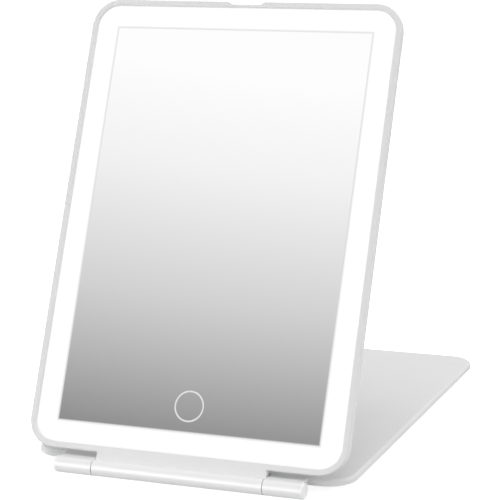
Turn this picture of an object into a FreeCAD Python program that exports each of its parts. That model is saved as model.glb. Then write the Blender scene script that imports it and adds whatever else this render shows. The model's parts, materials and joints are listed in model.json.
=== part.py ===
import FreeCAD, Part
import Sketcher
import math
import os
import re

# Lighted folding makeup mirror, in millimetres, +Z up. The mirror panel (head) stands on its own cover
# (base). Both are drawn flat in a frame of their own, with the hinge axis as the local X axis, the panel
# running along local +Y, and the plane in which the closed panels meet at local z = 0. The head lies
# below that plane with its glass facing +Z, and the base above it. Placements then swing each panel about
# the hinge axis to the angle at which the mirror stands.

SIZES = {
    # How far a cutting shape runs past the solid that it cuts
    "overcut": 1.0,
    # The two panels and how they meet
    "panel_width": 152.4,
    "panel_height": 212.6,
    "panel_corner": 13.0,
    "closing_gap": 1.0,
    "standing_angle": 65.65,
    # Front frame and thumb scoop
    "rim_width": 2.8,
    "frame_depth": 2.3,
    "frame_edge_bevel": 0.4,
    "seam_bevel": 0.2,
    "lip_inset": 1.2,
    "lip_depth": 1.2,
    "lip_clearance": 0.1,
    "scoop_width": 18.0,
    "scoop_depth": 1.3,
    "scoop_reach": 4.5,
    # Rear shell
    "back_round": 6.4,
    "back_wall": 1.0,
    "bay_inset": 8.0,
    "bay_corner": 5.0,
    # Glass and light stack, from the front to the back
    "glass_sink": 1.1,
    "glass_thickness": 1.1,
    "coating_thickness": 0.1,
    "diffuser_thickness": 0.3,
    "guide_thickness": 1.7,
    "reflector_thickness": 0.2,
    "glass_clearance": 0.1,
    "bond_width": 1.5,
    # Silvered rectangle and touch ring, measured from the edge of the glass
    "border_side": 10.6,
    "border_top": 10.6,
    "border_bottom": 10.0,
    "ring_diameter": 14.0,
    "ring_line": 0.8,
    "ring_rise": 21.6,
    # Touch electrode and its contact
    "sensor_diameter": 11.0,
    "sensor_thickness": 0.1,
    "contact_diameter": 6.0,
    "contact_clearance": 0.5,
    # Lamps along the edge of the light guide
    "strip_thickness": 0.3,
    "strip_play": 0.1,
    "strip_break": 4.0,
    "led_thickness": 0.8,
    "led_length": 2.0,
    "led_width": 1.4,
    "led_gap": 0.15,
    "led_pitch": 8.3,
    "tail_thickness": 0.2,
    "tail_width": 5.0,
    "tail_play": 0.2,
    # Control board and what sits on it
    "board_gap": 1.5,
    "board_reach": 10.3,
    "board_height": 28.0,
    "board_thickness": 0.8,
    "tail_margin": 1.5,
    "boss_width": 4.6,
    "boss_edge": 3.0,
    "screw_shank": 1.6,
    "screw_length": 2.0,
    "screw_head": 3.2,
    "screw_head_height": 0.9,
    "chip_length": 4.9,
    "chip_breadth": 3.9,
    "chip_height": 1.0,
    "chip_spacing": 6.0,
    "driver_length": 2.9,
    "driver_breadth": 2.8,
    "plug_width": 6.0,
    "plug_depth": 5.0,
    "plug_height": 1.0,
    "plug_margin": 1.0,
    # Charging socket
    "socket_width": 8.94,
    "socket_height": 3.2,
    "socket_length": 7.35,
    "socket_wall": 0.3,
    "socket_floor": 1.1,
    "socket_recess": 2.8,
    "socket_play": 0.1,
    "tongue_width": 6.7,
    "tongue_height": 0.7,
    "tongue_setback": 0.8,
    # Battery
    "battery_width": 55.0,
    "battery_length": 95.0,
    "battery_thickness": 3.0,
    "battery_play": 0.2,
    "battery_rise": 57.0,
    "tape_thickness": 0.2,
    "tape_inset": 6.0,
    "fence_gap": 0.6,
    "fence_wall": 1.2,
    "lead_diameter": 0.8,
    "lead_spacing": 1.8,
    "lead_bend": 4.0,
    "lead_run": 1.0,
    # Cover that serves as the foot
    "base_thickness": 2.8,
    "base_edge_bevel": 1.0,
    "base_wall": 2.0,
    "inner_panel_thickness": 1.2,
    "inner_panel_clearance": 0.15,
    # Rubber pads
    "pad_diameter": 10.0,
    "pad_proud": 0.7,
    "pad_seat": 0.5,
    "pad_inset": 13.0,
    "pad_clearance": 0.1,
    # Hinge
    "barrel_radius": 3.65,
    "slot_width": 3.55,
    "barrel_inset": 16.7,
    "knuckle_length": 17.1,
    "knuckle_gap": 0.3,
    "web_overlap": 0.7,
    "web_drop": 0.1,
    "pin_radius": 1.8,
    "pin_flat": 0.5,
    "pin_grip": 20.0,
    "pin_clearance": 0.01,
    "running_clearance": 0.03,
    "sleeve_wall": 0.7,
    "sleeve_slit": 0.8,
    "key_width": 1.2,
    "key_height": 0.5,
    "seat_clearance": 0.02,
    "end_clearance": 0.5,
    "cap_thickness": 1.5,
    "cap_bevel": 0.8,
    "cap_plug_length": 2.0,
}

# Levels, edges and centres that follow from the sizes, as formulas
DERIVED = {
    "hinge_offset": "barrel_radius + slot_width",
    "bay_depth": "max(socket_height + 2 * socket_play; tape_thickness + battery_thickness + battery_play)",
    "panel_left": "-panel_width / 2",
    "panel_top": "hinge_offset + panel_height",
    "rim_level": "-closing_gap / 2",
    "parting_level": "rim_level - frame_depth",
    "glass_level": "rim_level - glass_sink",
    "coating_level": "glass_level - glass_thickness",
    "diffuser_level": "coating_level - coating_thickness",
    "guide_level": "diffuser_level - diffuser_thickness",
    "reflector_level": "guide_level - guide_thickness",
    "bay_level": "reflector_level - reflector_thickness",
    "floor_level": "bay_level - bay_depth",
    "back_level": "floor_level - back_wall",
    "glass_inset": "rim_width + glass_clearance",
    "glass_bottom": "hinge_offset + glass_inset",
    "ring_level": "hinge_offset + rim_width + ring_rise",
    "strip_inset": "rim_width + strip_play",
    "led_inset": "strip_inset + strip_thickness",
    "guide_inset": "led_inset + led_thickness + led_gap",
    "bay_left": "panel_left + bay_inset",
    "board_left": "bay_left + board_gap",
    "board_width": "board_reach - board_left",
    "board_bottom": "hinge_offset + bay_inset + board_gap",
    "board_mid": "board_bottom + board_height / 2",
    "board_level": "floor_level + bay_depth / 2 - board_thickness / 2",
    "board_top_level": "board_level + board_thickness",
    "socket_mouth": "panel_left + socket_recess",
    "socket_level": "floor_level + bay_depth / 2",
    "battery_bottom": "hinge_offset + battery_rise",
    "tail_bottom": "board_bottom + tail_margin",
    "plug_left": "board_reach - plug_width - plug_margin",
    "plug_bottom": "board_bottom + board_height - plug_depth - plug_margin",
    "lead_side": "plug_left + plug_width + lead_bend + lead_run",
    "lead_level": "board_top_level + plug_height / 2",
    "base_inner_level": "closing_gap / 2",
    "base_outer_level": "base_inner_level + base_thickness",
    "pad_reach": "panel_top - pad_inset",
    "pad_drop": "pad_proud - closing_gap / 2",
    "web_level": "barrel_radius - web_drop",
    "barrel_half": "panel_width / 2 - barrel_inset",
    "knuckle_outer": "barrel_half - cap_thickness",
    "knuckle_inner": "knuckle_outer - knuckle_length",
    "middle_half": "knuckle_inner - knuckle_gap",
    "sleeve_radius": "pin_radius + running_clearance + sleeve_wall",
    "sleeve_bore_depth": "pin_grip + end_clearance",
    "pin_outer": "knuckle_outer - cap_plug_length - end_clearance",
}

doc = FreeCAD.newDocument("folding_mirror")
sheet = doc.addObject("Spreadsheet::Sheet", "Sizes")
for row, (alias, number) in enumerate(SIZES.items(), start=1):
    sheet.set(f"A{row}", alias)
    sheet.set(f"B{row}", str(number))
    sheet.setAlias(f"B{row}", alias)
doc.recompute()

WORD = re.compile(r"[a-z][a-z_]*")
TOUCH = 1e-4


def formula(text):
    """The text with each size and each derived name written as a reference to the sheet."""

    def swap(match):
        word = match.group()
        if word in DERIVED:
            return "(" + formula(DERIVED[word]) + ")"
        return "Sizes." + word if word in SIZES else word

    return WORD.sub(swap, str(text))


def size(text):
    """The number that a formula gives."""
    return float(sheet.evalExpression(formula(text)))


def bind(item, prop, text):
    item.setExpression(prop, formula(text))


# Where the two panels stand

# The base slopes down from the barrel to its pads, so that both touch the floor.
pad_arm = math.hypot(size("pad_reach"), size("pad_drop"))
base_slope = math.asin(size("barrel_radius") / pad_arm) - math.atan2(size("pad_drop"), size("pad_reach"))
base_straight = size("base_outer_level - base_edge_bevel")
far_edge = size("panel_top") * math.cos(base_slope) + base_straight * math.sin(base_slope)

# The origin is on the floor, below the middle of the whole depth from barrel to far edge.
hinge_axis = FreeCAD.Vector(0, (size("barrel_radius") - far_edge) / 2, size("barrel_radius"))
across = FreeCAD.Vector(1, 0, 0)
BASE = FreeCAD.Placement(hinge_axis, FreeCAD.Rotation(across, -math.degrees(base_slope)))
HEAD = FreeCAD.Placement(
    hinge_axis, FreeCAD.Rotation(across, size("standing_angle") - math.degrees(base_slope))
)

parts = []


def finished(item, placement):
    """Set a finished sub-part in its place and keep it for the export."""
    item.Placement = placement
    parts.append(item)
    return item


# Sketch and feature helpers


def new_body(label):
    body = doc.addObject("PartDesign::Body", label)
    body.Label = label
    return body


def origin_plane(body, role):
    return next(item for item in body.Origin.OriginFeatures if item.Role == role)


def new_sketch(body, name, level="0", role="XY_Plane"):
    """A sketch on one of the body's own planes, moved along that plane's normal."""
    sketch = body.newObject("Sketcher::SketchObject", f"{body.Name}_{name}")
    sketch.AttachmentSupport = [(origin_plane(body, role), "")]
    sketch.MapMode = "FlatFace"
    bind(sketch, "AttachmentOffset.Base.z", level)
    return sketch


def hold(sketch, kind, *where, text):
    """A dimension of the sketch, bound to a formula."""
    index = sketch.addConstraint(Sketcher.Constraint(kind, *where, size(text)))
    bind(sketch, f"Constraints[{index}]", text)


def line(sketch, start, end):
    return sketch.addGeometry(Part.LineSegment(FreeCAD.Vector(*start), FreeCAD.Vector(*end)))


def polygon(sketch, corners):
    """A closed outline through corners, each a pair of formulas."""
    spots = [(size(x), size(y)) for x, y in corners]
    first = None
    for here, there in zip(spots, spots[1:] + spots[:1]):
        edge = line(sketch, here, there)
        first = edge if first is None else first
    last = first + len(spots) - 1
    for index, (x, y) in enumerate(corners):
        edge = first + index
        follower = first if edge == last else edge + 1
        sketch.addConstraint(Sketcher.Constraint("Coincident", edge, 2, follower, 1))
        hold(sketch, "DistanceX", -1, 1, edge, 1, text=x)
        hold(sketch, "DistanceY", -1, 1, edge, 1, text=y)


def rectangle(sketch, left, bottom, width, height):
    right = f"({left}) + {width}"
    top = f"({bottom}) + {height}"
    polygon(sketch, [(left, bottom), (right, bottom), (right, top), (left, top)])


def rounded(sketch, left, bottom, width, height, radius):
    """A rectangle with round corners. Every argument is a formula."""
    x, y, r = size(left), size(bottom), size(radius)
    far_x, far_y = x + size(width), y + size(height)
    sides = [
        line(sketch, (x + r, y), (far_x - r, y)),
        line(sketch, (far_x, y + r), (far_x, far_y - r)),
        line(sketch, (far_x - r, far_y), (x + r, far_y)),
        line(sketch, (x, far_y - r), (x, y + r)),
    ]
    centres = [(far_x - r, y + r), (far_x - r, far_y - r), (x + r, far_y - r), (x + r, y + r)]
    corners = []
    for turn, centre in enumerate(centres):
        circle = Part.Circle(FreeCAD.Vector(*centre), FreeCAD.Vector(0, 0, 1), r)
        start = (turn - 1) * math.pi / 2
        corners.append(sketch.addGeometry(Part.ArcOfCircle(circle, start, start + math.pi / 2)))
    for turn in range(4):
        following = sides[(turn + 1) % 4]
        sketch.addConstraint(Sketcher.Constraint("Tangent", sides[turn], 2, corners[turn], 1))
        sketch.addConstraint(Sketcher.Constraint("Tangent", corners[turn], 2, following, 1))
        level = "Horizontal" if turn % 2 == 0 else "Vertical"
        sketch.addConstraint(Sketcher.Constraint(level, sides[turn]))
        if turn:
            sketch.addConstraint(Sketcher.Constraint("Equal", corners[0], corners[turn]))
    hold(sketch, "Radius", corners[0], text=radius)
    hold(sketch, "DistanceX", -1, 1, sides[3], 1, text=left)
    hold(sketch, "DistanceY", -1, 1, sides[0], 1, text=bottom)
    hold(sketch, "DistanceX", sides[3], 1, sides[1], 1, text=width)
    hold(sketch, "DistanceY", sides[0], 1, sides[2], 1, text=height)


def panel_outline(sketch, inset="0", radius=None):
    """The outline that both panels share, drawn in from the edge by inset."""
    rounded(
        sketch,
        f"panel_left + {inset}",
        f"hinge_offset + {inset}",
        f"panel_width - 2 * ({inset})",
        f"panel_height - 2 * ({inset})",
        radius or f"panel_corner - ({inset})",
    )


def disc(sketch, x, y, radius):
    spot = FreeCAD.Vector(size(x), size(y), 0)
    circle = sketch.addGeometry(Part.Circle(spot, FreeCAD.Vector(0, 0, 1), size(radius)))
    hold(sketch, "Radius", circle, text=radius)
    hold(sketch, "DistanceX", -1, 1, circle, 3, text=x)
    hold(sketch, "DistanceY", -1, 1, circle, 3, text=y)


def feature(body, kind, sketch, length, reverse=False, both_ways=False):
    """A pad or a pocket of the given length."""
    before = body.Tip.Shape.Volume if kind == "Pocket" else None
    item = body.newObject(f"PartDesign::{kind}", f"{sketch.Name}_{kind.lower()}")
    item.Profile = sketch
    item.Reversed = reverse
    if both_ways:
        item.SideType = "Symmetric"
    bind(item, "Length", length)
    doc.recompute()
    if before is not None and item.Shape.Volume >= before:
        raise RuntimeError(f"{item.Name} cuts nothing")
    body.Tip = item
    return item


def pad(body, sketch, length, **how):
    return feature(body, "Pad", sketch, length, **how)


def pocket(body, sketch, length, **how):
    return feature(body, "Pocket", sketch, length, **how)


def mirror_across(body, features):
    """The same features on the other side of the middle plane."""
    item = body.newObject("PartDesign::Mirrored", f"{body.Name}_{features[0].Name}_mirrored")
    item.Originals = features
    item.MirrorPlane = (origin_plane(body, "YZ_Plane"), [""])
    body.Tip = item
    doc.recompute()
    return item


def edges_at(item, level, axis="Z"):
    """Names of the edges that lie wholly at one coordinate of the item's own frame."""
    spot = size(level)
    names = []
    for number, edge in enumerate(item.Shape.Edges, start=1):
        low = getattr(edge.BoundBox, axis + "Min")
        high = getattr(edge.BoundBox, axis + "Max")
        if max(abs(low - spot), abs(high - spot)) < TOUCH:
            names.append(f"Edge{number}")
    return names


def outer_edges(item, level):
    """The edges at a height that reach the item's own sides, so not those of the opening inside its rim."""
    whole = item.Shape.BoundBox
    near = size("rim_width") / 2
    names = []
    for name in edges_at(item, level):
        box = item.Shape.getElement(name).BoundBox
        sides = (box.XMin - whole.XMin, whole.XMax - box.XMax, box.YMin - whole.YMin, whole.YMax - box.YMax)
        if min(sides) < near:
            names.append(name)
    return names


def dress_edges(body, kind, names, prop, text):
    carrier = body.Tip
    item = body.newObject(f"PartDesign::{kind}", f"{body.Name}_{kind.lower()}")
    item.Base = (carrier, names)
    bind(item, prop, text)
    body.Tip = item
    doc.recompute()


def round_edges(body, names, radius):
    dress_edges(body, "Fillet", names, "Radius", radius)


def bevel_edges(body, names, width):
    dress_edges(body, "Chamfer", names, "Size", width)


def plate(label, placement, level, thickness, draw):
    """A flat piece: draw(sketch) gives its outline, and thickness builds up from level."""
    body = new_body(label)
    sketch = new_sketch(body, "outline", level)
    draw(sketch)
    pad(body, sketch, thickness)
    return finished(body, placement)


def cut_thumb_scoop(body):
    """A sloping scoop in the middle of the top edge, deepest at the front."""
    sketch = new_sketch(body, "scoop", role="YZ_Plane")
    rise = "overcut * scoop_depth / scoop_reach"
    polygon(
        sketch,
        [
            (f"panel_top - scoop_depth - {rise}", "rim_level + overcut"),
            (f"panel_top + {rise}", "rim_level - scoop_reach - overcut"),
            (f"panel_top + {rise} + overcut", "rim_level + overcut"),
        ],
    )
    pocket(body, sketch, "scoop_width", both_ways=True)


# Front frame: a narrow rim with a lip that drops inside the rear shell
frame = new_body("front_frame")
rim = new_sketch(frame, "rim", "parting_level")
panel_outline(rim)
panel_outline(rim, "rim_width")
pad(frame, rim, "frame_depth")
bevel_edges(frame, outer_edges(frame.Tip, "rim_level"), "frame_edge_bevel")
bevel_edges(frame, outer_edges(frame.Tip, "parting_level"), "seam_bevel")
lip = new_sketch(frame, "lip", "parting_level - lip_depth")
panel_outline(lip, "lip_inset")
panel_outline(lip, "rim_width")
pad(frame, lip, "lip_depth")
cut_thumb_scoop(frame)
finished(frame, HEAD)

# Rear shell: round back edges, a ledge for the light stack, a bay behind it and the middle knuckle
shell = new_body("rear_shell")
back = new_sketch(shell, "back", "back_level")
panel_outline(back)
pad(shell, back, "parting_level - back_level")
back_limit = "parting_level - back_level - 2 * seam_bevel"
round_edges(shell, edges_at(shell.Tip, "back_level"), f"min(back_round; {back_limit})")
bevel_edges(shell, edges_at(shell.Tip, "parting_level"), "seam_bevel")
stack_seat = new_sketch(shell, "stack_seat", "parting_level")
panel_outline(stack_seat, "rim_width")
pocket(shell, stack_seat, "parting_level - bay_level")
lip_seat = new_sketch(shell, "lip_seat", "parting_level")
panel_outline(lip_seat, "lip_inset - lip_clearance")
pocket(shell, lip_seat, "lip_depth + lip_clearance")
bay = new_sketch(shell, "bay", "bay_level")
panel_outline(bay, "bay_inset", "bay_corner")
pocket(shell, bay, "bay_depth")
tail_way = new_sketch(shell, "tail_way", "bay_level")
rectangle(
    tail_way,
    "panel_left + strip_inset",
    "tail_bottom - tail_play",
    "bay_inset",
    "tail_width + 2 * tail_play",
)
pocket(shell, tail_way, "tail_thickness + tail_play")
cut_thumb_scoop(shell)

# A low fence keeps the battery in place, open where its leads come out.
fence = new_sketch(shell, "fence", "floor_level")
for margin in ("fence_gap + fence_wall", "fence_gap"):
    rectangle(
        fence,
        f"-battery_width / 2 - ({margin})",
        f"battery_bottom - ({margin})",
        f"battery_width + 2 * ({margin})",
        f"battery_length + 2 * ({margin})",
    )
pad(shell, fence, "bay_depth")
lead_way = new_sketch(shell, "lead_way", "bay_level")
rectangle(
    lead_way,
    "lead_side - lead_spacing",
    "battery_bottom - fence_gap - fence_wall - overcut",
    "3 * lead_spacing",
    "fence_wall + overcut + fence_gap / 2",
)
pocket(shell, lead_way, "bay_depth")

# Bosses carry the board, each with a pilot hole for its screw.
BOSSES = [
    ("board_reach - boss_edge", "board_bottom + boss_edge"),
    ("board_left + board_width / 2", "board_bottom + boss_edge"),
    ("board_left + boss_edge", "board_bottom + board_height - boss_edge"),
]
bosses = new_sketch(shell, "bosses", "floor_level")
for x, y in BOSSES:
    rectangle(bosses, f"{x} - boss_width / 2", f"{y} - boss_width / 2", "boss_width", "boss_width")
pad(shell, bosses, "board_level - floor_level")
SCREW_SIDES = 12
SCREW_SPOKES = [2 * math.pi * side / SCREW_SIDES for side in range(SCREW_SIDES)]


def screw_hole(sketch, x, y):
    """A hole with as many sides as the screw that goes through it."""
    reach = "(screw_shank / 2 + pin_clearance)"
    polygon(
        sketch,
        [(f"{x} + {reach} * {math.cos(a):.6f}", f"{y} + {reach} * {math.sin(a):.6f}") for a in SCREW_SPOKES],
    )


pilots = new_sketch(shell, "pilots", "board_level")
for x, y in BOSSES:
    screw_hole(pilots, x, y)
pocket(shell, pilots, "screw_length - board_thickness + end_clearance")

# The charging socket looks out through a slot in the left wall.
socket_way = new_sketch(shell, "socket_way", "panel_left", "YZ_Plane")
rounded(
    socket_way,
    "board_mid - socket_width / 2 - socket_play",
    "socket_level - socket_height / 2 - socket_play",
    "socket_width + 2 * socket_play",
    "socket_height + 2 * socket_play",
    "socket_height / 2 + socket_play - pin_clearance",
)
pocket(shell, socket_way, "bay_inset", reverse=True)


def knuckle_section(sketch, web):
    """A barrel about the hinge axis with a web. Its arc runs on from the web's last corner to its first."""
    spots = [(size(y), size(z)) for y, z in web]
    edges = [line(sketch, here, there) for here, there in zip(spots, spots[1:])]
    circle = Part.Circle(FreeCAD.Vector(), FreeCAD.Vector(0, 0, 1), size("barrel_radius"))
    leave = math.atan2(spots[-1][1], spots[-1][0])
    arrive = math.atan2(spots[0][1], spots[0][0])
    arc = sketch.addGeometry(Part.ArcOfCircle(circle, leave, arrive))
    sketch.addConstraint(Sketcher.Constraint("Coincident", arc, 3, -1, 1))
    hold(sketch, "Radius", arc, text="barrel_radius")
    for index, edge in enumerate(edges[:-1]):
        sketch.addConstraint(Sketcher.Constraint("Coincident", edge, 2, edges[index + 1], 1))
        hold(sketch, "DistanceX", -1, 1, edge, 2, text=web[index + 1][0])
        hold(sketch, "DistanceY", -1, 1, edge, 2, text=web[index + 1][1])
    sketch.addConstraint(Sketcher.Constraint("Coincident", edges[0], 1, arc, 2))
    sketch.addConstraint(Sketcher.Constraint("Coincident", edges[-1], 2, arc, 1))
    hold(sketch, "DistanceY", -1, 1, edges[0], 1, text=web[0][1])
    hold(sketch, "DistanceY", -1, 1, edges[-1], 2, text=web[-1][1])


# Middle knuckle: its web runs flush with the rim in front and joins the shell behind the frame.
chord = "sqrt(barrel_radius * barrel_radius - closing_gap * closing_gap / 4)"
web_foot = "sqrt(web_drop * (2 * barrel_radius - web_drop))"
middle = new_sketch(shell, "middle_knuckle", role="YZ_Plane")
knuckle_section(
    middle,
    [
        (web_foot, "-web_level"),
        ("hinge_offset + web_overlap", "-web_level"),
        ("hinge_offset + web_overlap", "parting_level"),
        ("hinge_offset", "parting_level"),
        ("hinge_offset", "rim_level"),
        (chord, "rim_level"),
    ],
)
pad(shell, middle, "2 * middle_half", both_ways=True)
sleeve_bore = new_sketch(shell, "sleeve_bore", "middle_half", "YZ_Plane")
disc(sleeve_bore, "0", "0", "sleeve_radius + seat_clearance")
bore = pocket(shell, sleeve_bore, "sleeve_bore_depth")
keyway = new_sketch(shell, "keyway", "middle_half", "YZ_Plane")
rectangle(
    keyway,
    "-key_width / 2 - seat_clearance",
    "-sleeve_radius - key_height - seat_clearance",
    "key_width + 2 * seat_clearance",
    "sleeve_radius + key_height",
)
slot = pocket(shell, keyway, "sleeve_bore_depth")
mirror_across(shell, [bore, slot])
finished(shell, HEAD)

# Glass, silver and ring
plate("mirror_glass", HEAD, "coating_level", "glass_thickness", lambda s: panel_outline(s, "glass_inset"))
coating = new_body("silver_coating")
silver = new_sketch(coating, "silver", "diffuser_level")
rectangle(
    silver,
    "panel_left + glass_inset + border_side",
    "glass_bottom + border_bottom",
    "panel_width - 2 * (glass_inset + border_side)",
    "panel_height - 2 * glass_inset - border_bottom - border_top",
)
disc(silver, "0", "ring_level", "ring_diameter / 2")
pad(coating, silver, "coating_thickness")
island = new_sketch(coating, "island", "diffuser_level")
disc(island, "0", "ring_level", "ring_diameter / 2 - ring_line")
coating.AllowCompound = True
pad(coating, island, "coating_thickness")
finished(coating, HEAD)


def draw_ring(sketch):
    disc(sketch, "0", "ring_level", "ring_diameter / 2")
    disc(sketch, "0", "ring_level", "ring_diameter / 2 - ring_line")


plate("touch_ring", HEAD, "diffuser_level", "coating_thickness", draw_ring)


def draw_bond(sketch):
    panel_outline(sketch, "glass_inset")
    panel_outline(sketch, "glass_inset + bond_width")


plate("glass_bond_tape", HEAD, "diffuser_level", "coating_thickness", draw_bond)


# Light stack, with a hole behind the ring for the touch contact
def draw_sheet(inset, hole):
    def draw(sketch):
        panel_outline(sketch, inset)
        disc(sketch, "0", "ring_level", hole)

    return draw


sensor_hole = "sensor_diameter / 2 + contact_clearance"
contact_hole = "contact_diameter / 2 + contact_clearance"
plate("diffuser_sheet", HEAD, "guide_level", "diffuser_thickness", draw_sheet("strip_inset", sensor_hole))
plate("light_guide", HEAD, "reflector_level", "guide_thickness", draw_sheet("guide_inset", contact_hole))
plate("reflector_sheet", HEAD, "bay_level", "reflector_thickness", draw_sheet("strip_inset", contact_hole))

# Touch electrode on the back of the silver, and the soft contact that joins it to the board
plate(
    "touch_sensor_pad",
    HEAD,
    "diffuser_level - sensor_thickness",
    "sensor_thickness",
    lambda s: disc(s, "0", "ring_level", "sensor_diameter / 2"),
)
plate(
    "touch_contact_foam",
    HEAD,
    "board_top_level",
    "diffuser_level - sensor_thickness - board_top_level",
    lambda s: disc(s, "0", "ring_level", "contact_diameter / 2"),
)

# One flexible strip runs round inside the wall, broken at the top where its ends meet.
strip = new_body("led_strip")
band = new_sketch(strip, "band", "reflector_level")
panel_outline(band, "strip_inset")
panel_outline(band, "led_inset")
pad(strip, band, "guide_thickness")
gap = new_sketch(strip, "gap", "guide_level")
rectangle(gap, "-strip_break / 2", "panel_top - led_inset - overcut", "strip_break", "led_inset + overcut")
pocket(strip, gap, "guide_thickness")
finished(strip, HEAD)


def led_rows():
    """Small lamps on the four straight runs of the strip, facing the light guide."""
    deep, wide, tall = size("led_thickness"), size("led_length"), size("led_width")
    level = size("reflector_level + guide_thickness / 2") - tall / 2
    inset, half = size("led_inset"), size("panel_width / 2")
    middle_y = size("hinge_offset + panel_height / 2")
    side_run = size("panel_height - 2 * panel_corner")
    end_run = size("panel_width - 2 * panel_corner")
    lamps = []

    def places(run):
        count = int(run // size("led_pitch")) // 2 * 2
        return [(index - (count - 1) / 2) * size("led_pitch") for index in range(count)]

    for along in places(side_run):
        for x in (-half + inset, half - inset - deep):
            corner = FreeCAD.Vector(x, middle_y + along - wide / 2, level)
            lamps.append(Part.makeBox(deep, wide, tall, corner))
    for along in places(end_run):
        for y in (size("hinge_offset") + inset, size("panel_top") - inset - deep):
            corner = FreeCAD.Vector(along - wide / 2, y, level)
            lamps.append(Part.makeBox(wide, deep, tall, corner))
    return Part.makeCompound(lamps)


leds = doc.addObject("Part::Feature", "leds")
leds.Label = "leds"
leds.Shape = led_rows()
finished(leds, HEAD)

plate(
    "led_flex_tail",
    HEAD,
    "bay_level - tail_thickness",
    "tail_thickness",
    lambda s: rectangle(
        s,
        "panel_left + strip_inset + tail_play",
        "tail_bottom",
        "bay_inset + plug_width",
        "tail_width",
    ),
)

# Control board
board = new_body("control_board")
board_outline = new_sketch(board, "outline", "board_level")
rectangle(board_outline, "board_left", "board_bottom", "board_width", "board_height")
for x, y in BOSSES:
    screw_hole(board_outline, x, y)
pad(board, board_outline, "board_thickness")
socket_notch = new_sketch(board, "socket_notch", "board_top_level")
rectangle(
    socket_notch,
    "board_left - overcut",
    "board_mid - socket_width / 2 - socket_play",
    "socket_mouth + socket_length + socket_play - board_left + overcut",
    "socket_width + 2 * socket_play",
)
pocket(board, socket_notch, "board_thickness")
finished(board, HEAD)


def chip(label, x, y, width, depth, height):
    plate(label, HEAD, "board_top_level", height, lambda s: rectangle(s, x, y, width, depth))


CHIP = ("chip_length", "chip_breadth", "chip_height")
chip("touch_chip", "-chip_spacing - chip_length", "ring_level - chip_breadth / 2", *CHIP)
chip("charge_chip", "socket_mouth + socket_length + 2 * chip_spacing", "board_mid - chip_breadth / 2", *CHIP)
chip(
    "led_driver_chip",
    "socket_mouth + socket_length + 5 * chip_spacing",
    "board_mid",
    "driver_length",
    "driver_breadth",
    "chip_height",
)
chip("battery_plug", "plug_left", "plug_bottom", "plug_width", "plug_depth", "plug_height")
chip(
    "flex_connector",
    "board_left + tail_play",
    "tail_bottom",
    "plug_width - 2 * tail_play",
    "tail_width",
    "bay_level - tail_thickness - board_top_level",
)


def many_sided(centre, radius, height):
    """A prism with as many sides as a small screw needs, from centre along Z."""
    ring = [centre + FreeCAD.Vector(radius * math.cos(a), radius * math.sin(a), 0) for a in SCREW_SPOKES]
    return Part.Face(Part.makePolygon(ring + ring[:1])).extrude(FreeCAD.Vector(0, 0, height))


def board_screws():
    """Pan-head screws through the board into the bosses."""
    screws = []
    top = size("board_top_level")
    for x, y in BOSSES:
        centre = FreeCAD.Vector(size(x), size(y), top)
        head = many_sided(centre, size("screw_head") / 2, size("screw_head_height"))
        shank = many_sided(centre, size("screw_shank") / 2, -size("screw_length"))
        screws.append(head.fuse(shank).removeSplitter())
    return Part.makeCompound(screws)


screws = doc.addObject("Part::Feature", "board_screws")
screws.Label = "board_screws"
screws.Shape = board_screws()
finished(screws, HEAD)

# Charging socket: a drawn shell with round ends, its mouth towards the left wall, and the contact tongue
socket = new_body("usb_c_socket")
socket_shell = new_sketch(socket, "shell", "socket_mouth", "YZ_Plane")
rounded(
    socket_shell,
    "board_mid - socket_width / 2",
    "socket_level - socket_height / 2",
    "socket_width",
    "socket_height",
    "socket_height / 2 - pin_clearance",
)
pad(socket, socket_shell, "socket_length")
mouth = new_sketch(socket, "mouth", "socket_mouth", "YZ_Plane")
rounded(
    mouth,
    "board_mid - socket_width / 2 + socket_wall",
    "socket_level - socket_height / 2 + socket_wall",
    "socket_width - 2 * socket_wall",
    "socket_height - 2 * socket_wall",
    "socket_height / 2 - socket_wall - pin_clearance",
)
pocket(socket, mouth, "socket_length - socket_floor", reverse=True)
tongue = new_sketch(socket, "tongue", "socket_mouth + tongue_setback", "YZ_Plane")
rectangle(
    tongue,
    "board_mid - tongue_width / 2",
    "socket_level - tongue_height / 2",
    "tongue_width",
    "tongue_height",
)
pad(socket, tongue, "socket_length - socket_floor - tongue_setback + socket_floor / 2")
finished(socket, HEAD)

# Battery pouch on its tape, and its two leads
battery = new_body("battery_cell")
pouch = new_sketch(battery, "pouch", "floor_level + tape_thickness")
rectangle(pouch, "-battery_width / 2", "battery_bottom", "battery_width", "battery_length")
pad(battery, pouch, "battery_thickness")
finished(battery, HEAD)
plate(
    "battery_tape",
    HEAD,
    "floor_level",
    "tape_thickness",
    lambda s: rectangle(
        s,
        "-battery_width / 2 + tape_inset",
        "battery_bottom + tape_inset",
        "battery_width - 2 * tape_inset",
        "battery_length - 2 * tape_inset",
    ),
)


LEAD_SIDES = 6


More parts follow.
